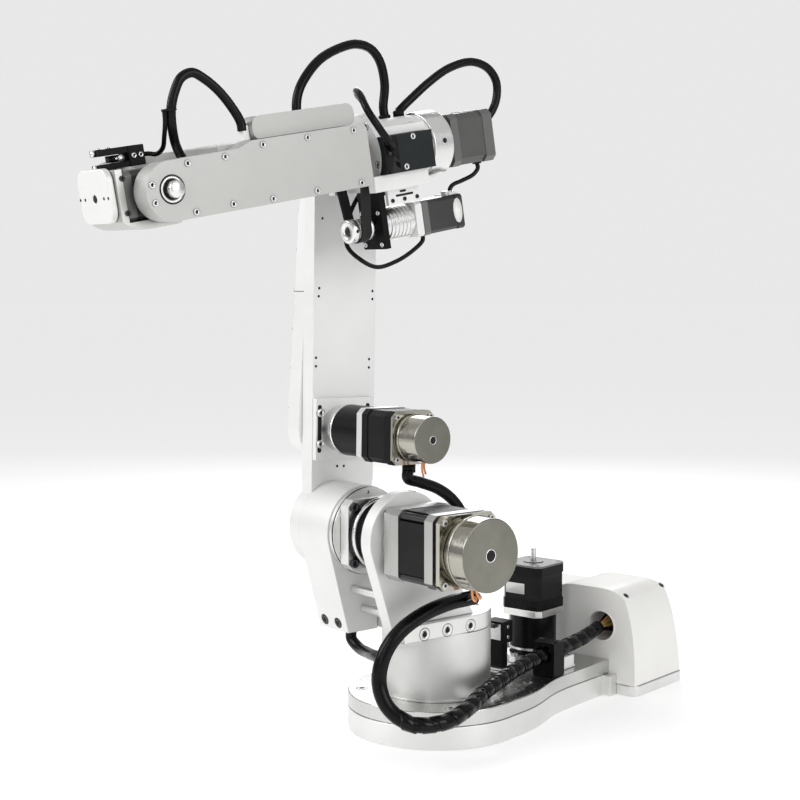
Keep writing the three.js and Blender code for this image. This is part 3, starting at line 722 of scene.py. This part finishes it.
BEVELS = {"electronics_cover": 2.2, "cover_foot": 0.8, "base_top_plate": 0.9, "turret_deck": 0.8,
          "forearm_front_cover": 0.9, "forearm_cable_cover": 1.6, "upper_arm_belt_cover": 1.2,
          "turret_column": 0.5, "j2_brake": 0.8, "j3_brake": 0.7, "j4_shaft_collar": 0.8,
          "tool_flange": 0.9, "wire_terminal": 0.7}


BRAKES = ("j2_brake", "j3_brake")
OUTWARD = TURRET.col[1].to_3d().normalized()  # the way that the brakes' end faces look


def dress_nodes():
    """Gives each CAD node its material, joined faces and softened edges."""
    for finish_name, names in CAD_FINISH.items():
        for name in names:
            node = NODES[name]
            node.data.materials.clear()
            node.data.materials.append(M[finish_name])
            node.data.polygons.foreach_set("material_index", [0] * len(node.data.polygons))
            if name in BRAKES:
                # the outward end faces take the darker nickel, a painted dark reflection standing in for the
                # dark surroundings they mirror
                node.data.materials.append(M["nickel_face"])
                turn = node.matrix_world.to_3x3()
                for face in node.data.polygons:
                    facing = (turn @ face.normal).normalized().dot(OUTWARD)
                    face.material_index = int(facing > 0.99)
            normals = node.data.attributes.get("custom_normal")
            if normals:
                node.data.attributes.remove(normals)
            weld = node.modifiers.new("weld", "WELD")
            weld.merge_threshold = 1e-6
            flat = node.modifiers.new("flat faces", "DECIMATE")
            flat.decimate_type = "DISSOLVE"
            flat.angle_limit = math.radians(0.6)
            soften(node, BEVELS.get(name, 0.5))


# ---------------------------------------------------------------- motors


def layer(axis, centre, half, chamfer, span, inset=0):
    """One square layer of a motor, its corners cut at 45 degrees."""
    return prism(octagon(half - inset, chamfer, centre), span, axis)


def notched(axis, centre, half, notch, span):
    """One square layer of a motor with its corners cut away for the long bolts."""
    flat = half - notch
    points = [(half, -flat), (half, flat), (flat, flat), (flat, half)]
    points += [(-flat, half), (-flat, flat), (-half, flat), (-half, -flat)]
    points += [(-flat, -flat), (-flat, -half), (flat, -half), (flat, -flat)]
    return prism([(centre[0] + a, centre[1] + b) for a, b in points], span, axis)


def shoulder_motor():
    """The large motor: bright end caps, a black stack with bolt notches and a brake plate."""
    centre = SHOULDER_MOTOR[::2]
    half, chamfer = 28.2, 4.6  # of a 56 mm motor
    parts = [
        ("end_cap", layer("y", centre, half, chamfer, (53, 62.5))),
        ("stack", notched("y", centre, half - 0.5, 7.4, (62.3, 93.7))),
        ("end_cap", layer("y", centre, half, chamfer, (93.5, 103))),
        ("black", layer("y", centre, half, chamfer, (102.8, 107.2), 2.5)),
        ("nickel", layer("y", centre, half, chamfer, (107, 111))),
    ]
    middle = SHOULDER_MOTOR
    for x, y, z in square_spots(23.4, 62.5, middle):
        parts.append(("dark_steel", disc(3.3, (0, 31), (x, y, z), "y", 16)))
        parts.append(("steel", disc(2.2, (0, 31.4), (x, y, z), "y", 16)))
    parts += caps(square_spots(23.4, 111, middle), "y", 2.6, 1.6)
    stand_in = piece("shoulder_motor", "turret", parts, bevel=0.5)
    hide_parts("j2_motor")


def elbow_motor():
    """The mid-size motor on the upper arm, black with a thin bright plate under its brake."""
    centre = ELBOW_MOTOR[::2]
    parts = [
        ("black", layer("y", centre, *MOTOR_42, (6.3, 13.5))),
        ("stack", layer("y", centre, *MOTOR_42, (13.3, 35), 0.5)),
        ("black", layer("y", centre, *MOTOR_42, (34.8, 42.6))),
        ("nickel", layer("y", centre, 21.0, 4.2, (42.4, 44.7))),
    ]
    parts += caps(square_spots(16.6, 44.7, ELBOW_MOTOR), "y", 2.3, 1.7)
    stand_in = piece("elbow_motor", "upper_arm", parts, bevel=0.45)
    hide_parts("j3_motor")


def turret_motor():
    """The upright motor on the base, with its shaft and a blank label."""
    centre = TURRET_MOTOR[:2]
    parts = [
        ("black", layer("z", centre, *MOTOR_42, (77.7, 86))),
        ("stack", layer("z", centre, *MOTOR_42, (85.8, 109), 0.7)),
        ("black", layer("z", centre, *MOTOR_42, (108.8, 116.4))),
        ("cap_grey", layer("z", centre, *MOTOR_42, (116.3, 118))),
        ("cap_grey", disc(9, (117.9, 118.8), TURRET_MOTOR, "z", 28)),
        ("steel", lathe([(118, 2.5), (129.4, 2.5), (130, 2)], TURRET_MOTOR, "z", 20)),
    ]
    for spot in square_spots(16.2, 118, TURRET_MOTOR, "z"):
        parts.append(("hole", disc(1.7, (0, 0.08), spot, "z", 16)))
    stand_in = piece("turret_motor", "base", parts, bevel=0.45)
    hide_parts("j1_motor")
    paper = prism(rounded((-15.5, 4.5), (91.5, 101), 0.6), (-121.6, -121.2), "x")
    piece("turret_motor_label", "base", [("label", paper)], bevel=0)


def wrist_pitch_motor():
    """The square motor behind the forearm shaft, with grey caps and four bolts at its rear."""
    parts = [
        ("satin", disc(18, (-57.3, -55.1), (0, 0, 0), "x", 32)),
        ("cap_grey", layer("x", (0, 0), *MOTOR_42, (-65, -57.2))),
        ("stack_grey", layer("x", (0, 0), MOTOR_42[0], 5.2, (-92.5, -64.8), 0.5)),
        ("cap_grey", layer("x", (0, 0), *MOTOR_42, (-102.65, -92.3))),
        ("hole", ring(6, 6.5, (-0.1, 0.06), (-102.65, 0, 0), (-1, 0, 0))),
    ]
    parts += caps(square_spots(15.5, -102.65, axis="x"), (-1, 0, 0), 2.1, 1.2)
    parts.append(("plastic", block((-94.6, -89.8), (5.2, 10.8), (-22.4, -20.8))))
    parts.append(("plastic", block((-103.6, -102.5), (-3, 7), (6, 16))))
    stand_in = piece("wrist_pitch_motor", "forearm", parts, bevel=0.45)
    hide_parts("j5_motor")


def roll_motor():
    """The small motor under the elbow, with its plug and a blank oval sticker."""
    centre = (0, -PULLEY_DROP)
    parts = [
        ("cap_grey", layer("x", centre, 14, 2, (-28.5, -22.3))),
        ("grey_motor", layer("x", centre, 14, 2.4, (-59, -28.3), 0.35)),
        ("grey_motor", layer("x", centre, 14, 2, (-65.5, -58.8))),
        ("white", block((-66.5, -57), (1, 9), (-PULLEY_DROP + 13.8, -PULLEY_DROP + 16.2))),
        ("satin", block((-60.5, -54), (2, 8), (-PULLEY_DROP + 13.8, -PULLEY_DROP + 17.3))),
    ]
    parts += caps(square_spots(10.6, -65.5, ROLL_MOTOR, "x"), (-1, 0, 0), 1.7, 0.8)
    stand_in = piece("roll_motor", "elbow", parts, bevel=0.3)
    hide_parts("j4_motor")
    angles = [t * math.pi / 16 for t in range(32)]
    oval = [(-59.6 + 4.6 * math.cos(t), -56.3 + 10 * math.sin(t)) for t in angles]
    piece("roll_motor_sticker", "elbow", [("label", prism(oval, (13.7, 14.25), "y"))],
          bevel=0)


def tool_motor():
    """The short motor inside the wrist: a grey body between two lighter caps."""
    y, z, chamfer = (-14.3, 24), (-18.3, 16.4), 3

    def slice_of(span, inset):
        a, b = (y[0] + inset, y[1] - inset), (z[0] + inset, z[1] - inset)
        points = [(a[0] + chamfer, b[0]), (a[1] - chamfer, b[0]), (a[1], b[0] + chamfer)]
        points += [(a[1], b[1] - chamfer), (a[1] - chamfer, b[1]), (a[0] + chamfer, b[1])]
        points += [(a[0], b[1] - chamfer), (a[0], b[0] + chamfer)]
        return prism(points, span, "x")

    parts = [
        ("cap_grey", slice_of((-11, -6), 0)),
        ("grey_motor", slice_of((-6.2, 18.4), 0.5)),
        ("cap_grey", slice_of((18.2, 25.2), 0)),
    ]
    stand_in = piece("tool_motor", "wrist", parts, bevel=0.4)
    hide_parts("j6_motor")


def roll_gearbox():
    """The ribbed gearbox of the small motor and its output shaft."""
    at = ROLL_MOTOR
    profile = [(-14.6, 12.9), (-14.2, 13.4), (-9.6, 13.4)]
    for k in range(5):
        x = -9.6 + 3.9 * k
        profile += [(x + 0.05, 12.4), (x + 0.95, 12.4), (x + 1.0, 13.5), (x + 3.85, 13.5)]
    profile += [(10.2, 12.6), (14.0, 12.6), (14.3, 12.2)]
    parts = [
        ("grooved", lathe(profile, at, "x", 40)),
        ("steel", lathe([(14.1, 4), (23.8, 4), (24.2, 3.6)], at, "x", 24)),
    ]
    for turn in range(4):
        angle = math.radians(45 + 90 * turn)
        spot = (12.2, 11.6 * math.cos(angle), 11.6 * math.sin(angle) - PULLEY_DROP)
        parts.append(("dark_steel", disc(1.5, (-4.2, 2), spot, "x", 12)))
    stand_in = piece("roll_gearbox", "elbow", parts, bevel=0.15)
    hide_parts("j4_gearbox")


def toothed(radius, depth, teeth, span, at):
    """A toothed wheel along X."""
    outline = []
    for k in range(teeth):
        for share, reach in ((0.0, radius - depth), (0.3, radius - depth), (0.45, radius), (0.85, radius)):
            angle = 2 * math.pi * (k + share) / teeth
            outline.append((at[1] + reach * math.cos(angle), at[2] + reach * math.sin(angle)))
    return prism(outline, span, "x")


def roll_pulleys():
    """The toothed pulley on the small motor; its bright hub carries a set screw and a shaft end."""
    at = ROLL_MOTOR
    hub = [(39.2, 9.2), (39.4, 9.4), (45.0, 9.4), (45.5, 8.9), (45.5, 4.4), (44.2, 4.2), (44.2, 0)]
    parts = [
        ("satin", lathe([(24.5, 9.0), (24.9, 9.4), (27.2, 9.4), (27.5, 9.1)], at, "x", 40)),
        ("satin", toothed(8.4, 0.9, 22, (27.3, 39.4), at)),
        ("turned", lathe(hub, at, "x", 48)),
        ("dark_steel", disc(3.4, (44.1, 45.0), at, "x", 24)),
        ("hole", disc(1.5, (45.0, 45.05), at, "x", 6)),
        ("hole", disc(1.4, (9.3, 9.46), (42.2, 0, -PULLEY_DROP), "y", 16)),
    ]
    stand_in = piece("roll_motor_pulley", "roll_pulley", parts, bevel=0)
    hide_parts("j4_motor_pulley")


# ---------------------------------------------------------------- details of the base


def base_details():
    top = 31
    spots = [(40.9, -47.3), (-62.3, 50.1), (-0.5, 66.5), (-117.5, 47.8), (-117.5, -47.8), (-62.3, -50.1),
             (-0.5, -66.5), (40.9, 47.3)]
    screws("base_top_screws", "base", [(x, y, top) for x, y in spots], "z", "bright_steel",
           flush_screw, radius=4.6, material="steel")
    foot = ring(45.75, 48.2, (top + 0.1, top + 1.6), sides=72)
    piece("column_seal_ring", "base", [("satin", foot)], bevel=0.3)
    near, far = ((72.6, 89.5), (0, 0.593, 0.805)), ((6.3, 91.1), (0, -0.555, 0.832))
    parts = []
    for x in (-183, -245):
        for (y, z), out in (near, far):
            parts.append(("shell", ring(2.9, 3.9, (-1.2, 0.3), (x, y, z), out)))
            parts += socket_screw((x, y, z), out, head=2.7, height=0.5, material="dark_steel")
    piece("electronics_cover_screws", "base", parts, bevel=0)
    rim = ring(13.2, 14.4, (-0.6, 0.5), (-176.3, 51, 60.4), "x", 40)
    piece("cable_hole_rim", "base", [("shell", rim)], bevel=0.2)


def turret_motor_mount():
    """The plate under the upright motor's gearbox with four screws."""
    middle = TURRET_MOTOR
    circle = lathe([(31.4, 21.4), (36.2, 21.4)], middle, "z", 32)[0]
    square = lathe([(36.2, 25), (31.4, 25)], middle, "z", 32, corners=4)[0]
    loops = [circle[:32], circle[32:], square[:32], square[32:]]
    parts = [("satin", skin(loops, closed=True))]
    reach = 27.6
    corners = ((0, reach), (0, -reach), (reach, 0), (-reach, 0))
    parts += caps([(middle[0] + x, y, 36.2) for x, y in corners], "z", 2.6, 2.4)
    rings = ring(20.9, 21.5, (40.5, 42.5), middle, "z")
    parts.append(("satin", rings))
    piece("turret_motor_mount", "base", parts, bevel=0.3)


def outlet_wires():
    """The bare bundle between the cover and the start of the wrapped harness."""
    bundles = [
        ("jacket", 1.7, [(-203, 44, 66), (-192, 46, 66), (-180, 49, 63), (-173.5, 50, 61)]),
        ("jacket", 1.7, [(-203, 58, 54), (-192, 56, 55), (-180, 53, 57), (-173.5, 52, 59)]),
        ("brass", 1.3, [(-202, 55, 68), (-192, 56, 68), (-182, 54, 64), (-173.5, 52.5, 61.5)]),
        ("brass", 1.3, [(-203, 57, 62), (-193, 57.5, 63), (-182, 55, 61), (-173.5, 52, 60)]),
        ("copper", 1.1, [(-203, 50, 69), (-192, 51, 68.5), (-181, 51, 64), (-173.5, 50.5, 62)]),
        ("red", 1.1, [(-203, 47, 54), (-192, 48, 55), (-181, 50, 57.5), (-173.5, 50.5, 59)]),
    ]
    parts = [(key, sweep(smooth_route(points, 5), radius, 10)) for key, radius, points in bundles]
    parts.append(("brass", block((-204.8, -203), (41, 61), (50, 71))))
    piece("outlet_wires", "base", parts, bevel=0)


def small_base_parts():
    """Screws and slots of the clamp, the terminal and the limit switch."""
    parts = caps([(-96, y, 60.8) for y in (40.6, 56.4)], "z", 2.1, 1.4, "dark_steel")
    parts.append(("hole", block((-104.06, -87.94), (59.3, 59.46), (50.1, 50.6))))
    piece("clamp_screws", "base", parts, bevel=0)
    slots = []
    for y in (32, 39, 46):
        slots.append(("hole", block((-131.8, -120.2), (y - 2, y + 2), (41.9, 42.1))))
        slots += socket_screw((-126, y, 41.6), "z", head=1.8, height=0.9)
        slots.append(("hole", block((-118.1, -117.9), (y - 2, y + 2), (34, 38.5))))
    slots.append(("white", block((-134.6, -117.4), (27.4, 50.6), (31.4, 32.9))))
    piece("terminal_slots", "base", slots, bevel=0)
    lever = [
        ("steel", block((-79.9, -79.4), (-7, 9), (58, 72))),
        ("red", block((-88, -85), (9.8, 10.4), (66, 70))),
    ]
    lever += caps([(-87.5, 11, z) for z in (60, 69)], "y", 1.7, 0.8)
    lever.append(("dark_steel", disc(2.2, (-3, 3), (-77.4, 1, 70.5), "y", 20)))
    lever.append(("satin", block((-84, -78), (-9.5, 11.5), (31.4, 33))))
    piece("limit_switch_details", "base", lever, bevel=0.1)


# ---------------------------------------------------------------- details of the turret


def deck_details():
    cheek_y = 45.8
    spots = [(51.5, cheek_y, 92.4), (27.4, cheek_y, 92.4), (2.5, cheek_y - 0.08, 92.4)]
    screws("deck_side_screws", "turret", spots, "y", "satin_aluminium", flush_screw, radius=5.4)
    far = [(x, -45.6, z) for x, _, z in spots[1:]]
    screws("deck_far_screws", "turret", far, (0, -1, 0), "satin_aluminium", flush_screw, radius=5.4)
    top = [(-30, y, 100.6) for y in (-18, 18)] + [(-8, y, 100.6) for y in (-34, 34)]
    screws("deck_top_screws", "turret", top, "z", "satin_aluminium", flush_screw, radius=3.8)


def housing_details():
    """Countersunk screws in the housing's leg, and the dark ring round the bearing cap."""
    slope = Vector((0.9647, 0, -0.2624))
    spots = [Vector((81.4, y, 93)) for y in (-46.5, -28.5)]
    screws("housing_foot_screws", "turret", spots, tuple(slope), "satin_aluminium",
           flush_screw, radius=4.6, material="dark_steel")
    middle = SHOULDER_MOTOR
    groove = ring(35.0, 35.75, (-12.2, -11.3), middle, "y", 72)
    lip = ring(26, 29.4, (5.9, 8.6), middle, "y", 56)
    shadow = ring(25.8, 26.3, (8.5, 9.4), middle, "y", 56)
    piece("bearing_rings", "turret", [("hole", groove), ("turned", lip), ("hole", shadow)],
          bevel=0)
    spots = square_spots(22.6, 0, middle)
    screws("gearbox_flange_screws", "turret", spots, "y", "satin_aluminium",
           head=3.7, height=2.6, material="dark_steel")
    cap = circle_spots(31.6, -10.3, middle, 6, 30)
    screws("bearing_cap_screws", "turret", cap, "y", "satin_aluminium", head=1.8, height=0.7)


def motor_plate_details():
    middle = SHOULDER_MOTOR
    parts = caps(circle_spots(31.6, 40, middle, 4, 45), "y", 2.6, 1.8)
    slot = block((middle[0] - 9.6, middle[0] - 7.8), (29.5, 38.5), (middle[2] + 36.4, middle[2] + 36.75))
    parts.append(("hole", slot))
    for spot in square_spots(23.4, 45.0, middle):
        parts.append(("dark_steel", disc(2.6, (-2.2, 0.1), spot, "y", 18)))
    piece("motor_plate_screws", "turret", parts, bevel=0)


def brake_details(name, body, at, radius, face, base):
    """The rim and centre hole of a brake, its seam and the flange behind it."""
    parts = [
        ("hole", disc(radius * 0.155, (face - 0.2, face + 0.06), at, "y", 32)),
        ("turned", ring(radius * 0.155, radius * 0.18, (face - 0.2, face + 0.25), at, "y")),
        ("nickel", ring(radius + 0.02, radius + 0.35, (base + 1.5, base + 3.6), at, "y", 56)),
    ]
    for turn in (90, 210, 330):
        angle = math.radians(turn)
        spot = (at[0] + radius * 0.88 * math.cos(angle), base, at[2] + radius * 0.88 * math.sin(angle))
        parts.append(("dark_steel", disc(1.5, (-0.2, 0.5), spot, (0, -1, 0), 14)))
    piece(name, body, parts, bevel=0)


def brake_wires():
    high = [[(66, 122, 142.5), (63, 121, 137), (57, 117, 133.5), (50, 110, 133), (44, 101, 132)]]
    high.append([(69, 121, 142.7), (67, 120, 135.8), (60, 115, 131.6), (52, 107, 131), (45, 98, 130)])
    parts = [("copper", sweep(smooth_route(points, 6), 0.9, 10)) for points in high]
    purple = [[(44, 101, 132), (36, 88, 130), (28, 74, 125), (20, 60, 119.5)],
              [(45, 98, 130), (37, 86, 127), (29, 72, 122), (21, 59, 117.5)]]
    parts += [("jacket", sweep(smooth_route(points, 6), 1.5, 10)) for points in purple]
    piece("shoulder_brake_wires", "turret", parts, bevel=0)
    low_ends = [[(-3, 55, 62.2), (-4, 54, 57), (-9, 50, 52)], [(0, 56, 62.2), (-1, 55, 56), (-6, 51, 50)]]
    parts = [("copper", sweep(smooth_route(points, 6), 0.8, 10)) for points in low_ends]
    piece("elbow_brake_wires", "upper_arm", parts, bevel=0)


# ---------------------------------------------------------------- details of the upper arm


def upper_arm_details():
    face, cover, joint = -56, -87, 193
    holes = [(18.6, 196), (19, 189.4), (-37, 194.3), (-37, 187.6), (21, 132), (-34.3, 130), (16.1, 253)]
    holes += [(-2, 48.3), (-9, 48), (21, 139), (-34.3, 137)]
    parts = [("hole", disc(1.15, (-0.1, 0.07), (v, face, u), "y", 16)) for v, u in holes]
    piece("arm_plate_holes", "upper_arm", parts, bevel=0)
    low = ELBOW_MOTOR[2]
    spots = []
    for u in (96, 129, 162, 195, 228, 261):
        v = 24.5 - 11.4 * (u - low) / (UPPER_LENGTH - low)
        spots += [(v, cover, u), (-v, cover, u)]
    spots += [(0, cover, UPPER_LENGTH + 12), (0, cover, low - 23.6)]
    screws("belt_cover_screws", "upper_arm", spots, (0, -1, 0), "white_blasted_aluminium",
           head=2.3, height=1.4)
    edge = 28 - 11.8 * (joint - low) / (UPPER_LENGTH - low)
    seam = block((-edge, edge), (cover - 0.08, -71), (joint - 0.1, joint + 0.4))
    piece("belt_cover_seam", "upper_arm", [("hole", seam)], bevel=0)
    hub = circle_spots(20, -70, (0, 0, 0), 6, 0)
    screws("shoulder_hub_screws", "upper_arm", hub, (0, -1, 0), "bright_steel", head=3, height=2)


def elbow_motor_mount():
    """The slots and clamp screws that set the belt tension, and the gearbox's bright nose."""
    face = -50.8
    parts = []
    for v in (20.4, -29.5):
        slot = rounded((v - 2, v + 2), (61, 100.5), 1.9)
        parts.append(("hole", prism(slot, (face - 0.2, face + 0.08), "y")))
        for u in (94, 68.4):
            parts += socket_screw((v, face, u), "y", head=3.6, height=3.2)
    lip = ring(17.4, 21.2, (-37.2, -34.6), ELBOW_MOTOR, "y", 48)
    nose = lathe([(-50.5, 18.3), (-41, 17.9), (-37.4, 17.8)], ELBOW_MOTOR, "y", 48)
    parts += [("turned", lip), ("satin", nose)]
    for spot in square_spots(15.9, 6.0, ELBOW_MOTOR):
        parts.append(("dark_steel", disc(1.9, (-7.3, -6.1), spot, "y", 16)))
    parts.append(("plastic", block((-4, 4), (36.6, 43.4), (52.6, 59.3))))
    piece("elbow_motor_mount", "upper_arm", parts, bevel=0)


# ---------------------------------------------------------------- details of the elbow and the forearm


def elbow_details():
    spots = [(x, 36.5, z) for x, z in ((-3, 9.3), (7.2, -12.8))]
    screws("side_cover_screws", "elbow", spots, "y", "bright_steel", head=2.5, height=1.5)
    front = 26.6
    disc_spots = [(front, 18.2, 21.4), (front, -18.2, 21.4), (front, 26.5, -8.5), (front, -26.5, -8.5)]
    screws("elbow_disc_screws", "elbow", disc_spots, "x", "satin_aluminium", flush_screw, radius=3.1)
    drop = -PULLEY_DROP
    plate = rounded((-20.6, 13.9), (drop + 15.0, -29.6), 0.8)
    slots = [("blasted", prism(plate, (14.4, 17.6), "y"))]
    for x0, x1, z in ((-12, 6, -35.2), (-5, 1.5, -32.2)):
        slots.append(("hole", prism(rounded((x0, x1), (z - 0.9, z + 0.9), 0.8), (17.5, 17.68), "y")))
    slots += caps([(x, 17.6, -38.6) for x in (-15.5, -2.5, 9.8)], "y", 1.7, 1.0, "dark_steel")
    piece("motor_slot_plate", "elbow", slots, bevel=0.25)
    spots = [(20, y, drop + z) for y, z in ((-10.3, -14.2), (10.3, -14.2), (10.3, 10.8), (-10.3, 10.8))]
    screws("roll_bracket_screws", "elbow", spots, "x", "black_anodised", head=2.0, height=1.4)
    bar = [(x, y, 19) for x in (-16, 16) for y in (-22, 22)]
    screws("elbow_bar_screws", "elbow", bar, "z", "bright_steel", head=2.2, height=1.4)


def collar_details():
    middle, radius = -44.5, 26.6
    parts = []
    for turn in range(3):
        angle = math.radians(3.4 + 120 * turn)
        out = Vector((0, math.cos(angle), math.sin(angle)))
        spot = Vector((middle, 0, 0)) + out * (radius - 0.15)
        parts.append(("hole", disc(2.1, (0, 0.22), spot, tuple(out), 24)))
    parts.append(("red", ring(15.6, 16.2, (-34.05, -33.95), (0, 0, 0), "x")))
    piece("collar_set_screws", "forearm", parts, bevel=0)


def forearm_details():
    face = 44.5
    spots = [(207.5, 15.9), (176.2, 16.4), (142.9, 20.6), (102.9, 20.8), (59.8, 20.8), (238.1, 5.2),
             (237.7, -7.2), (206.5, -18), (175.3, -17.1), (140.9, -18.4), (100.8, -18.4), (59, -18.4)]
    screws("front_cover_screws", "forearm", [(s, face, n) for s, n in spots], "y", "satin_aluminium",
           head=2.5, height=1.3)
    far = [(s, -38, n) for s, n in spots if abs(s - PITCH_AXIS) > 18]
    screws("rear_half_screws", "forearm", far, (0, -1, 0), "satin_aluminium", head=2.5, height=1.3)
    axle = (PITCH_AXIS, 0, 0)
    parts = [
        ("hole", ring(9.2, 10.3, (44.3, 44.62), axle, "y", 48)),
        ("satin", ring(7.3, 9.2, (44.2, 45.1), axle, "y", 48)),
        ("hole", ring(5.6, 7.4, (43.9, 44.3), axle, "y", 48)),
        ("turned", lathe([(44.2, 6.1), (51.2, 6.1), (52, 5.3)], axle, "y", 40)),
        ("satin", lathe([(38, 15.4), (39.4, 15.4), (39.4, 8), (41, 7.6), (41, 0)], axle, (0, -1, 0), 48)),
    ]
    piece("wrist_axle_seal", "forearm", parts, bevel=0)
    tie = prism(rounded((197.5, 209), (21.3, 28.7), 3.5), (52.7, 54.5), "z")
    piece("wrist_cable_tie", "forearm", [("jacket", tie)], bevel=0)
    clip = [("white", block((145.4, 150.8), (28.2, 33.8), (24.9, 35.6)))]
    piece("hump_cable_clip", "forearm", clip, bevel=0.6)
    gland = lathe([(23.6, 6.2), (25.6, 6.2), (26.2, 5.4), (28, 4.3)], (80, 5, 0), "z", 24)
    piece("hump_cable_gland", "forearm", [("plastic", gland)], bevel=0)


def elbow_glands():
    parts = []
    glands = ((-17.5, -12, 24, 28, 4.9), (-27.5, -6, 24, 30, 4.5), (-6, -15, 22, 29, 3.7))
    for x, y, low, high, radius in glands:
        profile = [(low, radius), (high - 1, radius), (high, radius * 0.75)]
        parts.append(("plastic", lathe(profile, (x, y, 0), "z", 24)))
    parts.append(("plastic", lathe([(36.4, 3.5), (39.2, 3.5), (40.4, 3.1)], (20, 0, 4), "y", 24)))
    parts.append(("wrap", block((12.6, 26.3), (36.4, 36.75), (-16.6, 12.4))))
    piece("elbow_cable_glands", "elbow", parts, bevel=0)


# ---------------------------------------------------------------- details of the wrist


def wrist_details():
    front = 36.25
    holes = [("hole", disc(1.15, (-0.1, 0.07), (front, y, 0), "x", 16)) for y in (-20.2, -13.3, 13.3, 19.4)]
    holes.append(("hole", disc(2.95, (-0.1, 0.02), (front - 0.6, 0, 0), "x", 28)))
    piece("flange_holes", "tool", holes, bevel=0)
    hub = [("satin", lathe([(25.4, 11), (31.1, 11)], (0, 3, 0), "x", 40))]
    piece("flange_hub", "tool", hub, bevel=0.3)
    parts = caps([(x, 0.5, 33) for x in (19.5, 27.5)], "z", 1.8, 1.1)
    parts += caps([(x, 8, 26) for x in (-1, 4.5)], "y", 2.0, 1.2)
    parts += [
        ("plastic", block((9.5, 20), (-5, 5.4), (23.2, 27.9))),
        ("satin", disc(2.6, (5.4, 6.8), (13.6, 0, 25.4), "y", 20)),
        ("steel", disc(1.2, (6.7, 7.4), (17.6, 0, 25.4), "y", 14)),
        ("satin", disc(2.2, (30.9, 33.4), (0, 0.5, 30.7), "x", 20)),
        ("satin", disc(1.8, (30.9, 33.0), (0, 0.5, 20.7), "x", 20)),
    ]
    piece("wrist_bracket_details", "wrist", parts, bevel=0)
    yoke = caps([(x, 24.5, z) for x, z in ((26, -12), (26, 12))], "y", 2.1, 1.2, "dark_steel")
    yoke.append(("satin", disc(10.4, (-23, -21.4), (0, 0, 0), "y", 40)))
    piece("yoke_screws", "wrist", yoke, bevel=0)


camera()
studio()
floor()
dress_nodes()
cables()
for build in (
    shoulder_motor, elbow_motor, turret_motor, wrist_pitch_motor, roll_motor, tool_motor,
    roll_gearbox, roll_pulleys, base_details, turret_motor_mount, outlet_wires, small_base_parts,
    deck_details, housing_details, motor_plate_details, brake_wires, upper_arm_details,
    elbow_motor_mount, elbow_details, collar_details, forearm_details, elbow_glands, wrist_details,
):
    build()
brake_details("shoulder_brake_rim", "turret", SHOULDER_MOTOR, 28.1, 136.6, 117.5)
brake_details("elbow_brake_rim", "upper_arm", ELBOW_MOTOR, 18.4, 68.5, 45)
